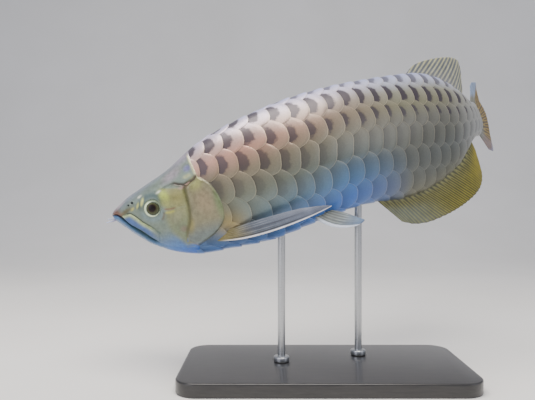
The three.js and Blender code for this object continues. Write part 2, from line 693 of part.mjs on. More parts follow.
// Jaw, upper jaw plates and gill covers
let jaw = largest(head.intersect(through(jawOutline)));
head = largest(head.subtract(through(grown(jawOutline, GAP))));
const plates = {};
SIDES.forEach(([side, k]) => {
  const cover = (outline, deep) => across(outline, k * deep, k * OUTSIDE);
  plates["maxilla_" + side] = largest(head.intersect(cover(maxillaOutline, PLATE_DEEP)));
  plates["gill_cover_" + side] = largest(head.intersect(cover(gillOutline, GILL_DEEP)));
  head = head.subtract(cover(grown(maxillaOutline, GAP), PLATE_DEEP - GAP));
  head = head.subtract(cover(grown(gillOutline, GAP), GILL_DEEP - GAP));
});
head = largest(head);

// Barbels, rooted in the tip of the lower jaw; the left one hangs lower than the right one
const BARBEL = [[2.5, 2.6, -6.5], [-3, 3.4, -5.2], [-10.5, 4.2, -3.6]];
const BARBEL_DROOP = { left: 1.6, right: -0.3 };
const BARBEL_RADIUS = { root: 1.15, tip: 0.4 };
const barbels = SIDES.map(([side, k]) => {
  const line = BARBEL.map(([s, y, z], i) => [s, k * y, z - BARBEL_DROOP[side] * i]);
  const [s, y, z] = line[0];
  jaw = jaw.subtract(tube([[s + 0.6, y, z - 0.1], ...line], () => BARBEL_RADIUS.root + GAP));
  const taper = (t) => BARBEL_RADIUS.root + (BARBEL_RADIUS.tip - BARBEL_RADIUS.root) * t;
  return [side, tube(line, taper)];
});
jaw = largest(jaw);

// Fins with their slots
const pectoral = pairedFin(PECTORAL);
const FINS = {
  dorsal_fin: [DORSAL, "fin"],
  anal_fin: [ANAL, "anal"],
  caudal_fin: [CAUDAL, "caudal"],
  pectoral_fin_left: [pectoral, "fin"],
  pectoral_fin_right: [mirrored(pectoral), "fin"],
  pelvic_fin_left: [pairedFin(PELVIC), "fin"],
  pelvic_fin_right: [mirrored(pairedFin(PELVIC_FOLDED)), "fin"],
};
// The slot has half the rays, so it needs a little more room than the gap alone
const SLOT = GAP + 0.05;
Object.values(FINS).forEach(([shape]) => {
  const slot = fin({ ...shape, rays: Math.ceil(shape.rays / 2) }, SLOT);
  torso = torso.subtract(slot);
  head = head.subtract(slot);
});

// Stand
const rodFoot = BASE.height - ROD.socketInBase;
const rods = RODS.map(({ name, s }) => {
  const [x, y, z] = pose(s, 0, station(BOTTOM, s));
  return { name, x, y, top: z + ROD.socketInFish };
});
function post(rod, radius, from, to) {
  const g = new THREE.CylinderGeometry(radius, radius, to - from, ROD.sides);
  g.rotateX(Math.PI / 2);
  g.translate(rod.x, rod.y, (from + to) / 2);
  return facingOut(g);
}
const boardShape = new THREE.Shape();
const quarter = Math.PI / 2;
[[1, -1, -quarter], [1, 1, 0], [-1, 1, quarter], [-1, -1, 2 * quarter]].forEach(([kx, ky, from]) => {
  const x = kx * (BASE.length / 2 - BASE.corner);
  const y = ky * (BASE.width / 2 - BASE.corner);
  boardShape.absarc(x, y, BASE.corner, from, from + quarter);
});
const board = new THREE.ExtrudeGeometry(boardShape, {
  depth: BASE.height,
  bevelEnabled: false,
  curveSegments: 6,
});
let base = facingOut(mergeVertices(board, SAME_POINT));
rods.forEach((rod) => {
  base = base.subtract(post(rod, ROD.radius + GAP, rodFoot - GAP, BASE.height + GAP));
  torso = torso.subtract(post(rod, ROD.radius + GAP, BASE.height + GAP, rod.top + GAP));
});

// The torso parted into front, middle, rear and tail base, from the head on
const CRUMB = 500;
const trunk = TRUNK_CUTS.reduce((made, s) => made.subtract(slab(s, GAP)), largest(torso)).decompose()
  .filter((piece) => piece.volume() > CRUMB)
  .sort((a, b) => a.boundingBox().min[0] - b.boundingBox().min[0]);
["torso_front", "torso_mid", "torso_rear", "tail_base"].forEach((name, i) => put(name, trunk[i], "scales"));

put("head", largest(head), "head");
put("lower_jaw", jaw, "jaw");
Object.entries(plates).forEach(([name, made]) => put(name, made, name.startsWith("gill") ? "gill" : "jaw"));
SIDES.forEach(([side, k]) => put("eye_" + side, eyeBall(k, 0), "eye"));
Object.entries(FINS).forEach(([name, [shape, key]]) => put(name, fin(shape, 0), key));
barbels.forEach(([side, made]) => put("barbel_" + side, made, "barbel"));
put("stand_base", base, "stand");
rods.forEach((rod) => put("stand_rod_" + rod.name, post(rod, ROD.radius, rodFoot, rod.top), "rod"));

export default model;
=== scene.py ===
# %% [markdown]
# # An asian arowana as a life-size still model
# The fish is a heavy, slab-sided freshwater fish with a turned-up mouth, two chin barbels and
# very large scales. The frame from the CAD program fixes its size and pose. Here each part gets
# its real surface: one skin, solid scales, ribbed fins, wet eyes and a plain display stand.

# %% The frame
import math
from functools import partial

import bpy
import numpy as np
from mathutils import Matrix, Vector


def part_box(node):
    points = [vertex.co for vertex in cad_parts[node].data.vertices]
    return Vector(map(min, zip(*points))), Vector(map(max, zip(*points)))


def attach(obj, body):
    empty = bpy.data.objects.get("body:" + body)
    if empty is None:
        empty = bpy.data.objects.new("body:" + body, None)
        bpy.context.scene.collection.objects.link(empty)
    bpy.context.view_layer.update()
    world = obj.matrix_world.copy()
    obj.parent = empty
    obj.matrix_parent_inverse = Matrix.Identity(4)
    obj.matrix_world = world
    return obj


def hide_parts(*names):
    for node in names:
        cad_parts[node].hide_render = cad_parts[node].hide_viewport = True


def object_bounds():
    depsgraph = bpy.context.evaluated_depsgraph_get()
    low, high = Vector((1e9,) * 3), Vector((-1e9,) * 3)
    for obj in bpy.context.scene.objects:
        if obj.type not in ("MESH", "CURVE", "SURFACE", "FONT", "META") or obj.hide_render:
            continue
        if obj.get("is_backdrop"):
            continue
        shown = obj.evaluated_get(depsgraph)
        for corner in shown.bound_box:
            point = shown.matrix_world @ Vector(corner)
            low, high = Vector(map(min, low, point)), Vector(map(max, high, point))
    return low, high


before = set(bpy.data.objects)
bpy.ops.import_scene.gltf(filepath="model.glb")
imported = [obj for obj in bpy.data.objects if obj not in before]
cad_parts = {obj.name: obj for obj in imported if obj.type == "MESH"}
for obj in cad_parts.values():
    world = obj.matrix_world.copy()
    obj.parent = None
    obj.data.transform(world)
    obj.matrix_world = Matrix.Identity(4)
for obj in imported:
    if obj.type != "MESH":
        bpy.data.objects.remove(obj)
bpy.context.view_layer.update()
MM = 0.001

# %% [markdown]
# ## Small tools
# A colour is picked as an sRGB hex value, as on any screen, but the renderer counts in linear
# light, so one function turns the one into the other. Another adds a node to a material, and
# a third gives the scale of a pattern from its real size.


# %% Colours and nodes
NOISE = (0.3, 0.7)  # nearly all values of a noise lie between these
SIDES = (("left", -1), ("right", 1))


def linear(hex_colour):
    """The linear RGB of an sRGB colour such as "#a0b0c0"."""
    parts = [int(hex_colour[i : i + 2], 16) / 255 for i in (1, 3, 5)]
    return [c / 12.92 if c <= 0.04045 else ((c + 0.055) / 1.055) ** 2.4 for c in parts]


def every(mm):
    """The scale of a pattern whose grains are so many millimetres apart."""
    return 1 / (mm * MM)


def wire(node, inputs):
    """Sets inputs, by name or in order: each a value, a socket, or a node for its first output."""
    for key, value in inputs.items() if isinstance(inputs, dict) else enumerate(inputs):
        if isinstance(value, bpy.types.Node):
            value = value.outputs[0]
        if isinstance(value, bpy.types.NodeSocket):
            node.id_data.links.new(value, node.inputs[key])
        else:
            node.inputs[key].default_value = value


def add_node(tree, kind, inputs=(), stops=(), **settings):
    """Adds a node with its settings, its ramp's stops and its inputs."""
    node = tree.nodes.new("ShaderNode" + kind)
    for name, value in settings.items():
        setattr(node, name, value)
    if stops:
        elements = node.color_ramp.elements
        while len(elements) < len(stops):
            elements.new(0.5)
        for element, (position, colour) in zip(elements, stops):
            element.position = position
            element.color = (*linear(colour), 1)
    wire(node, inputs)
    return node


def new_material(name, **values):
    """A material, its shader, the tool that adds nodes to it, and a node for the place in metres."""
    material = bpy.data.materials.new(name)
    material.use_nodes = True
    add = partial(add_node, material.node_tree)
    shader = material.node_tree.nodes["Principled BSDF"]
    wire(shader, {key.replace("_", " "): value for key, value in values.items()})
    return material, shader, add, add("TexCoord").outputs["Object"]


# %% [markdown]
# ## The shape of the body
# A fish is easiest to describe straight: at each distance s behind the snout it has a top, a
# bottom and a half width. The same named stations made the CAD model, so the skin here lies
# exactly on it. A last function bends the straight fish along its spine into the pose.


# %% Stations of the body, in millimetres behind the snout tip
def curve(points):
    """A smooth curve through stations that doesn't overshoot them, as a function of arrays."""
    x, y = np.array(points, float).T
    slope = np.diff(y) / np.diff(x)
    both = slope[:-1] * slope[1:]
    total = np.where(both > 0, slope[:-1] + slope[1:], 1)
    tangent = np.concatenate([slope[:1], np.where(both > 0, 2 * both / total, 0), slope[-1:]])

    def at(value):
        value = np.clip(np.asarray(value, float), x[0], x[-1])
        i = np.clip(np.searchsorted(x, value, side="right") - 1, 0, len(x) - 2)
        h = x[i + 1] - x[i]
        t = (value - x[i]) / h
        ends = (2 * t**3 - 3 * t**2 + 1) * y[i] + (3 * t**2 - 2 * t**3) * y[i + 1]
        return ends + ((t**3 - 2 * t**2 + t) * tangent[i] + (t**3 - t**2) * tangent[i + 1]) * h

    return at


heading = curve([
    [-60, 0], [125, 0], [200, 15], [280, 25], [340, 27], [420, 31], [476, 50], [520, 58], [640, 60],
])
top_at = curve([
    [-2.6, -0.4], [-1.6, 1.6], [0, 3.2], [8, 8], [20, 14], [33, 18.6], [45, 22.8], [57, 26.8], [69, 31.8],
    [82, 38.8], [95, 45.8], [108, 51.3], [132, 58.2], [155, 63.5], [180, 68.3], [204, 72], [230, 74.6],
    [255, 76.2], [285, 77.3], [320, 77.3], [365, 76.6], [392, 75], [410, 71], [426, 65], [440, 58],
    [455, 49], [470, 40], [485, 32.5], [500, 29], [530, 28],
])
bottom_at = curve([
    [-2.6, -2], [-1.6, -4], [0, -7], [5, -13.6], [11, -20.7], [17, -27.8], [24, -35], [30, -40.8],
    [38, -46.2], [47, -52.4], [57, -57.4], [67, -61.3], [78, -64.4], [92, -66], [110, -66.6], [131, -68.3],
    [153, -69.2], [176, -67.6], [199, -64.6], [230, -61.6], [262, -60], [285, -61], [297, -62.4],
    [313, -65], [326, -66.4], [343, -66.4], [366, -64.4], [386, -60.2], [401, -55.8], [418, -50],
    [433, -43.6], [444, -37], [453, -30.5], [462, -25], [474, -20], [487, -17.5], [530, -17],
])
half_width_at = curve([
    [-2.6, 2.2], [-1.6, 4.2], [0, 6.6], [5, 10.6], [12, 14], [24, 17.8], [40, 21.5], [60, 25.4], [80, 28.6],
    [100, 31], [130, 33.6], [180, 35], [230, 34.2], [280, 31.6], [330, 27.6], [380, 22.6], [420, 18],
    [450, 14.6], [480, 11.2], [505, 8.6], [530, 6],
])
# Where the section is widest, as a share of its height
widest_at = curve([
    [-4, 0.6], [0, 0.62], [20, 0.72], [45, 0.74], [80, 0.62], [110, 0.53], [160, 0.5], [300, 0.49],
    [420, 0.55], [450, 0.54], [480, 0.5], [530, 0.5],
])
# How full the section is: 2 is an ellipse, less is a keel
round_top_at = curve([
    [-4, 2], [20, 2.3], [60, 2.5], [100, 2.25], [160, 2.1], [300, 2], [400, 1.8], [470, 1.9], [530, 2],
])
round_belly_at = curve([
    [-4, 2], [20, 1.75], [60, 1.7], [100, 1.85], [160, 1.8], [290, 1.75], [340, 1.6], [400, 1.38],
    [440, 1.38], [475, 1.8], [530, 2],
])
# The line along the flank between two rows of scales, and the height of a row
flank_line_at = curve([
    [60, 34], [125, 32], [160, 27.5], [185, 21], [215, 17.5], [260, 18.8], [300, 18], [350, 13], [390, 7],
    [430, 2.5], [480, 4], [530, 5.5],
])
row_height_at = curve([
    [60, 24], [140, 26], [200, 28], [330, 26.5], [400, 25], [450, 21], [480, 17.5], [530, 15],
])

# %% The pose
SNOUT_X, SNOUT_Z = -223, 172
NOSE_DOWN = math.radians(15)
SPINE_FROM = -60  # where the spine's stations start, in front of the snout
spine_s = np.arange(SPINE_FROM, 661)
spine_angle = np.radians(heading(spine_s))
spine_x, spine_y = [np.append(0, np.cumsum(step(spine_angle))[:-1]) for step in (np.cos, np.sin)]
spine_x -= spine_x[-SPINE_FROM]
spine_y -= spine_y[-SPINE_FROM]


def pose(s, y, z):
    """From the straight fish (s back, y to its right, z up, in mm) to the posed one, in metres."""
    a = np.interp(s, spine_s, spine_angle)
    back = np.interp(s, spine_s, spine_x) - y * np.sin(a)
    out = np.interp(s, spine_s, spine_y) + y * np.cos(a)
    x = SNOUT_X + back * math.cos(NOSE_DOWN) - z * math.sin(NOSE_DOWN)
    up = SNOUT_Z + back * math.sin(NOSE_DOWN) + z * math.cos(NOSE_DOWN)
    return np.stack([x, out, up], axis=-1) * MM


# %% The bare surface as a map of s and of the arc around the body
RINGS_S = np.concatenate([np.arange(-2.6, 60, 1.0), np.arange(60, 531, 2.0)])
ARC_STEPS = 200
SECTION_STEPS = 720


def half_section(s):
    """The left half of the section at s, from the back round to the belly: arrays of y and z."""
    top, bottom = top_at(s), bottom_at(s)
    middle = bottom + (top - bottom) * widest_at(s)
    a = np.pi * np.arange(SECTION_STEPS + 1) / SECTION_STEPS
    c = np.cos(a)
    power = 2 / np.where(c >= 0, round_top_at(s), round_belly_at(s))
    reach = np.where(c >= 0, top - middle, middle - bottom)
    y = -half_width_at(s) * np.clip(np.sin(a), 0, 1) ** power
    return y, middle + np.sign(c) * reach * np.abs(c) ** power


rings = []
for ring_s in RINGS_S:
    ys, zs = half_section(ring_s)
    arc = np.append(0, np.cumsum(np.hypot(np.diff(ys), np.diff(zs))))
    even = np.linspace(0, arc[-1], ARC_STEPS + 1)
    points = [np.interp(even, arc, ys), np.interp(even, arc, zs)]
    rings.append((points, arc[-1], np.interp(-flank_line_at(ring_s), -zs, arc)))
ring_points, ring_whole, ring_zero = [np.array(part) for part in zip(*rings)]
print("half girth in mm at 50, 200 and 400:", np.interp([50, 200, 400], RINGS_S, ring_whole).round())


def on_skin(s, down):
    """The left side's (y, z) at s and the arc down from the back; it runs on past the middle lines."""
    i = np.clip(np.searchsorted(RINGS_S, s, side="right") - 1, 0, len(RINGS_S) - 2)
    f = np.clip((s - RINGS_S[i]) / (RINGS_S[i + 1] - RINGS_S[i]), 0, 1)
    share = down / (ring_whole[i] + f * (ring_whole[i + 1] - ring_whole[i]))
    flip = np.where((share < 0) | (share > 1), -1, 1)
    share = np.where(share < 0, -share, np.where(share > 1, 2 - share, share))
    k = np.clip(share * ARC_STEPS, 0, ARC_STEPS - 1e-6)
    j = k.astype(int)
    g = (k - j)[..., None]
    ring, after = [ring_points[n, :, j] * (1 - g) + ring_points[n, :, j + 1] * g for n in (i, i + 1)]
    y, z = np.moveaxis(ring * (1 - f)[..., None] + after * f[..., None], -1, 0)
    return flip * y, z


def skin_normal(s, down):
    """The outward normal of the left side there, as arrays of its s, y and z parts."""
    e = 0.8  # mm to each side
    (ya, za), (yb, zb) = on_skin(s + e, down), on_skin(s - e, down)
    (yc, zc), (yd, zd) = on_skin(s, down + e), on_skin(s, down - e)
    along = np.stack([np.full_like(ya, 2 * e), ya - yb, za - zb], -1)
    around = np.stack([np.zeros_like(yc), yc - yd, zc - zd], -1)
    n = np.cross(around, along)
    return n / np.maximum(np.linalg.norm(n, axis=-1, keepdims=True), 1e-9)


# %% [markdown]
# ## Lines on the head
# The plates of an arowana's head meet in clear lines: the steep mouth, the upper jaw plate that
# lies over its corner, the cheek plates behind the eye and the gill cover. Each line is a few
# points in side view. The distance to a line then gives grooves, rims and patches of colour.

# %% Distances and masks
FINE = 8  # steps between two points of a softened line


def ease(low, high, value):
    """0 below low, 1 above high, and a soft step between them."""
    t = np.clip((value - low) / (high - low), 0, 1)
    return t * t * (3 - 2 * t)


def hollow(distance, wide):
    """A soft trough: 1 on the line and 0 a few widths away."""
    return np.exp(-((distance / wide) ** 2))


def softened(points):
    """The same line with its corners rounded."""
    k = np.arange(len(points))
    t = np.linspace(0, k[-1], k[-1] * FINE + 1)
    return np.stack([curve(np.stack([k, part], 1))(t) for part in np.array(points, float).T], 1)


def near(line, s, z):
    """Distance in mm from each point to a line in side view, and the share of the line passed."""
    best = np.full(np.shape(s), 1e9)
    passed = np.zeros(np.shape(s))
    for k in range(len(line) - 1):
        (s0, z0), (s1, z1) = line[k], line[k + 1]
        length = (s1 - s0) ** 2 + (z1 - z0) ** 2
        t = np.clip(((s - s0) * (s1 - s0) + (z - z0) * (z1 - z0)) / length, 0, 1)
        d = np.hypot(s - s0 - t * (s1 - s0), z - z0 - t * (z1 - z0))
        passed = np.where(d < best, (k + t) / (len(line) - 1), passed)
        best = np.minimum(d, best)
    return best, passed


def within(outline, s, z):
    """Signed distance in mm to a closed outline in side view, positive inside."""
    inside = np.zeros(np.shape(s), bool)
    for (s0, z0), (s1, z1) in zip(outline, np.roll(outline, -1, axis=0)):
        crosses = (z0 > z) != (z1 > z)
        inside ^= crosses & (s < (s1 - s0) * (z - z0) / (z1 - z0 if z1 != z0 else 1e-9) + s0)
    distance, _ = near(np.concatenate([outline, outline[:1]]), s, z)
    return np.where(inside, distance, -distance)


# %% Lines and outlines in side view: s and z in mm
MOUTH = softened([
    [-8, 0.5], [2, -1.5], [6, -3.5], [11.4, -9.9], [16.6, -17.2], [23, -23.8], [28.6, -30.1], [34, -36.3],
    [41, -42.3],
])
UPPER_JAW_TOP = softened([
    [44.4, -32.1], [36.8, -23.3], [30.2, -16.8], [24.2, -9.2], [18.2, -4.4], [10.5, -4.6],
])
GILL_EDGE = softened([
    [98.2, 17], [99.5, 13.5], [107, 6.5], [112.7, -4], [115.4, -13], [116.6, -23], [115.4, -32], [111, -39],
    [101, -46.8], [90, -51.6], [80, -55],
])
GILL_FRONT = softened([[70, -48], [73.5, -38], [79.5, -27], [82.4, -14], [82.9, -2], [82.8, 5], [88, 10.5]])
THROAT = softened([[80, -55], [70, -54.5], [58, -51.5], [48, -46.8], [41, -42.3]])
TEMPLE = softened([
    [56, 9], [64, 12], [72.5, 13.2], [78, 10.8], [83.5, 9.4], [89, 10.4], [94.5, 12.2], [98, 16],
])
CHEEK_UPPER = softened([[57, -9.6], [64, -11], [71, -10.8], [82, -11.4]])
CHEEK_FRONT = softened([[55.5, -12.5], [53.5, -16.5], [50, -20.3], [46.5, -23]])
BEHIND_EYE = softened([[57.5, -13.5], [62.5, -14], [67, -13.5]])
NAPE = np.array([[91, 90], [94.5, 36], [98.2, 17]])
EYE_S, EYE_Z = 44.7, -5.2
EYE_RADIUS, EYE_DEPTH, EYE_PROUD = 9.6, 6.2, 2.6
NOSTRILS = [(24.6, 5.6, 1.25), (20.2, 4.2, 0.9)]  # each with its radius
# Sensory pores in a row along the lower jaw and over the cheek
PORES = [(9, -15.5), (15, -22.5), (22, -29.5), (29.5, -36), (37, -41)]
PORES += [(52, 10.5), (60, 14), (34, 9.6), (70, 16)]

head_outline = np.concatenate([NAPE, GILL_EDGE[1:], [[80, -58], [72, -95], [-40, -95], [-40, 90]]])
jaw_outline = np.concatenate([MOUTH, [[44, -47], [46, -70], [-30, -70], [-30, 0.5]]])
upper_jaw_outline = np.concatenate([UPPER_JAW_TOP, MOUTH[3 * FINE :]])
gill_outline = np.concatenate([GILL_EDGE, GILL_FRONT])
cheek_outline = np.array([[92, 9], [59, 14], [57.5, -8], [57, -20], [60, -34], [70, -50], [92, -44]])

# %% [markdown]
# ## The skin
# One closed skin runs over head, trunk and tail. A grid primitive is bent by a formula: its
# columns become rings, close together on the head and wide apart under the scales. The height
# of each point above the bare form comes from the lines above, so a groove is a real groove.


# %% A grid bent by a formula
def select_only(*pieces):
    """Deselects everything but these pieces and makes the first of them active."""
    bpy.ops.object.select_all(action="DESELECT")
    for piece in pieces:
        piece.select_set(True)
        bpy.context.view_layer.objects.active = pieces[0]


def keep_mark(mesh, name, values):
    """Stores one, three or four values for each point; a colour is kept with four."""
    if name == "tone":
        values = np.concatenate([values, np.ones((len(values), 1))], 1)
    kinds = {1: ("FLOAT", "value"), 3: ("FLOAT_VECTOR", "vector"), 4: ("FLOAT_COLOR", "color")}
    kind, key = kinds[values.size // len(values)]
    mesh.attributes.new(name, kind, "POINT").data.foreach_set(key, values.astype(np.float32).ravel())


def bent_grid(name, columns, rows, place):
    """A closed smooth piece from a grid: place(u, v) gives its points and the marks to keep."""
    select_only()
    bpy.ops.mesh.primitive_grid_add(x_subdivisions=columns, y_subdivisions=rows, size=2)
    piece = bpy.context.active_object
    piece.name = name
    mesh = piece.data
    flat = np.zeros(len(mesh.vertices) * 3)
    mesh.vertices.foreach_get("co", flat)
    u, v = np.clip((flat.reshape(-1, 3)[:, :2].T + 1) / 2, 0, 1)
    points, marks = place(u, v)
    mesh.vertices.foreach_set("co", points.ravel())
    for mark, values in marks.items():
        keep_mark(mesh, mark, values)
    mesh.uv_layers[0].name = "OFBake"
    select_only(piece)
    bpy.ops.object.mode_set(mode="EDIT")
    bpy.ops.mesh.select_all(action="SELECT")
    bpy.ops.mesh.remove_doubles(threshold=2e-6)
    bpy.ops.mesh.normals_make_consistent(inside=False)
    bpy.ops.object.mode_set(mode="OBJECT")
    bpy.ops.object.shade_smooth()
    return piece


def folded(t):
    """For a row that runs over one face and back over the other: its place there, and if it is back."""
    return np.where(t > 0.5, 2 - 2 * t, 2 * t), t > 0.5


def hand_over(piece, material, slot, *nodes):
    """Gives a piece its material, hangs it on the root body and hides the CAD nodes it stands for."""
    piece.data.materials.clear()
    piece.data.materials.append(material)
    bpy.context.view_layer.update()
    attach(piece, "root")
    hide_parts(*nodes)
    print(piece.name, len(piece.data.polygons), "faces")


# %% Heights on the head
def relief(s, z):
    """Height of the skin over the bare form in mm, from where a point is in side view."""
    head = within(head_outline, s, z)
    height = -0.7 + 0.75 * ease(-0.6, 0.6, head)
    # The gill cover lifts towards its free rear edge
    gill = within(gill_outline, s, z)
    rear, _ = near(GILL_EDGE, s, z)
    height += ease(0, 3, gill) * (0.5 + 1.1 * np.exp(-rear / 9)) * (head > 0)
    height += ease(-0.2, 0.8, head) * np.exp(-rear / 4) * (s > 80)
    front, _ = near(GILL_FRONT, s, z)
    height -= 0.9 * hollow(front, 1.1)
    # Mouth, upper jaw plate and lower jaw
    mouth, passed = near(MOUTH, s, z)
    height += 0.9 * ease(0, 1.6, within(upper_jaw_outline, s, z))
    height -= 2.4 * hollow(mouth, 0.8 + 0.9 * hollow(passed - 0.72, 0.2)) * ease(1.02, 0.9, passed)
    height += 0.6 * hollow(mouth - 3.2, 1.8) * (within(jaw_outline, s, z) > 0)
    ridge, _ = near(UPPER_JAW_TOP, s, z)
    height -= 0.9 * hollow(ridge, 0.8) * (s > 12)
    # Cheek plates, temple and throat
    for line, deep in ((TEMPLE, 1.1), (CHEEK_UPPER, 0.55), (CHEEK_FRONT, 0.5), (THROAT, 0.35)):
        distance, along = near(line, s, z)
        height -= deep * hollow(distance, 0.95) * ease(0, 0.12, along) * ease(1, 0.9, along)
    height += 0.35 * ease(0, 5, within(cheek_outline, s, z))
    for ps, pz in PORES:
        height -= 0.55 * hollow(np.hypot(s - ps, z - pz), 0.75)
    # The eye sits in a shallow cup with a soft rim, and each nostril is a pit
    eye = np.hypot(s - EYE_S, z - EYE_Z)
    height += 0.55 * hollow(eye - 9.8, 1.4)
    height -= 5.0 * ease(EYE_RADIUS - 0.6, EYE_RADIUS - 1.8, eye)
    for ps, pz, radius in NOSTRILS:
        d = np.hypot(s - ps, z - pz)
        height += 0.5 * hollow(d - radius - 0.5, 0.5) - 1.7 * ease(radius + 0.3, radius - 0.6, d)
    return height


# %% [markdown]
# ## Colours of the fish
# The body is laid on like paint from an airbrush: a base colour for each band from back to
# belly, then patches where the head's plates are olive, lavender or silver. Some of it is painted
# light: a sheen on the upper flank, part of the blue low down as a reflection of blue surroundings,
# shade behind the gill cover, and a few highlights and a sheen on the head. Each patch is a mask
# made by the same distances, so the skin and the scales over it carry the same markings.

# %% Bands of colour on the body
BANDS = [  # share of the way from belly (0) to back (1), colour at s 150, at s 258 and at s 345
    # The blue of the lowest bands is partly the fish's own silvery blue and partly a painted reflection of
    # blue surroundings
    (0.00, "#4f7ac2", "#4577c6", "#65644f"),
    (0.14, "#5c7ba6", "#3063b2", "#5e615a"),
    (0.28, "#64777a", "#456d94", "#5f635f"),
    (0.42, "#6d7263", "#5f6763", "#64655c"),
    (0.57, "#877a64", "#75705f", "#6b6a61"),
    (0.70, "#b88a76", "#8c7a67", "#7a775f"),
    (0.80, "#bba29c", "#a2938a", "#8c8b7a"),
    # Partly painted sheen: the upper flank's pale scales are laid in near white, as where the light above
    # shines on them
    (0.91, "#cfc6dc", "#d6cfea", "#b2b6cc"),
    (1.00, "#a6b0e4", "#a4b2ec", "#9ea8d8"),
]
BAND_STATIONS = [150, 246, 332]


def blend(stops, t):
    """Linear colours at t between stops, each a place and an sRGB colour."""
    places, colours = zip(*stops)
    return np.stack([np.interp(t, places, part) for part in zip(*map(linear, colours))], 1)


def painted(colour, *layers):
    """Lays colours over another, each an sRGB colour and a mask from 0 to 1."""
    for hex_colour, mask in layers:
        colour = colour + (np.array(linear(hex_colour)) - colour) * np.clip(mask, 0, 1)[:, None]
    return colour


def body_colour(s, level):
    """Colour of the flank at s; level runs from 0 at the belly to 1 at the back."""
    front, middle, rear = [blend([(band[0], band[k]) for band in BANDS], level) for k in (1, 2, 3)]
    t = np.interp(s, BAND_STATIONS, [0, 1, 2])[:, None]
    colour = front + (middle - front) * np.clip(t, 0, 1) + (rear - middle) * np.clip(t - 1, 0, 1)
    # Painted shade: the flank just behind the gill cover is darkened, as in the shade of the cover
    painted_shade_behind_gill = ease(132, 112, s) * ease(0.72, 0.55, level) * ease(0.1, 0.3, level)
    return painted(
        colour,
        ("#605b46", 0.7 * painted_shade_behind_gill),
        ("#a4a4a0", 0.8 * ease(405, 480, s)),
        ("#a4892e", 0.6 * hollow(s - 122, 16) * hollow(level - 0.24, 0.1)),
    )


# %% Patches and lines of colour on the head
HEAD_PATCHES = [  # colour, strength, middle (s, z), reach along and across in mm, turn in degrees
    ("#b4c250", 0.95, (60, 4), (7, 4.8), -65),
    ("#9a9f56", 0.70, (59, -3.5), (6, 4.5), -60),
    ("#948c48", 0.60, (73, 0), (9, 9), 0),
    # Painted sheen in the middle of the gill cover
    ("#9c8868", 0.60, (99, -12), (10, 14), 10),
    ("#a3a45c", 0.75, (95, 8), (7, 8), -40),
    ("#67794e", 0.80, (113.5, -16), (4.5, 18), 0),
    ("#94883e", 0.55, (79, -33), (4, 8), -20),
    ("#8a6a60", 0.55, (71, -34), (4, 3), 0),
    ("#a596a4", 0.65, (72, 22), (12, 5), 25),
    ("#b08c82", 0.80, (81.5, 7), (5, 1.6), 0),
    ("#aaae7c", 0.80, (88, 17), (4.5, 2), 10),
    ("#756cae", 0.65, (90, 25), (4.2, 3.4), 20),
    # Two painted highlights: small pale glints above the front and the rear of the eye
    ("#e9ecd6", 0.90, (34.2, 9.8), (2.6, 1.1), 20),
    ("#e9ecd6", 0.85, (55.3, 9.2), (3.0, 1.1), 20),
    ("#d4d87c", 0.95, (35.6, 3.6), (4.4, 1.5), 62),
    ("#ccce74", 0.95, (29.9, 1.2), (3.4, 1.1), 60),
    ("#c0bc64", 0.95, (23.4, -0.8), (2.6, 1.4), 30),
    ("#5a4f28", 0.80, (15, -1.5), (9, 2.4), 20),
    ("#7c4a30", 0.90, (3.5, -2.5), (8, 6.5), -60),
    ("#bcaab0", 0.60, (8, 6), (9, 2.2), 25),
    # A painted highlight: a small pale spot low at the rear of the throat
    ("#c2bac8", 0.70, (97, -54), (6, 1.8), 5),
    ("#57584a", 0.40, (64, -24), (10, 4), -50),
    ("#8c8f70", 0.50, (68, -20), (9, 5), 30),
]
HEAD_LINES = [  # line, colour, strength, half width in mm, first and last share that shows
    (GILL_FRONT, "#4c4c22", 0.80, 2.2, 0.15, 0.95),
    (TEMPLE, "#3a2b1e", 0.95, 2.1, 0.30, 0.97),
    (CHEEK_UPPER, "#7d4834", 0.70, 0.9, 0.0, 0.5),
    (CHEEK_FRONT, "#604f36", 0.75, 1.2, 0.05, 0.55),
    (BEHIND_EYE, "#b8b54f", 0.80, 1.1, 0.0, 0.9),
]


def patch(s, z, middle, reach, turn):
    """An oval patch that fades at its edge; turn tips its long side up, in degrees."""
    ds, dz = s - middle[0], z - middle[1]
    c, d = math.cos(math.radians(turn)), math.sin(math.radians(turn))
    return np.exp(-(np.hypot((ds * c + dz * d) / reach[0], (dz * c - ds * d) / reach[1]) ** 3))


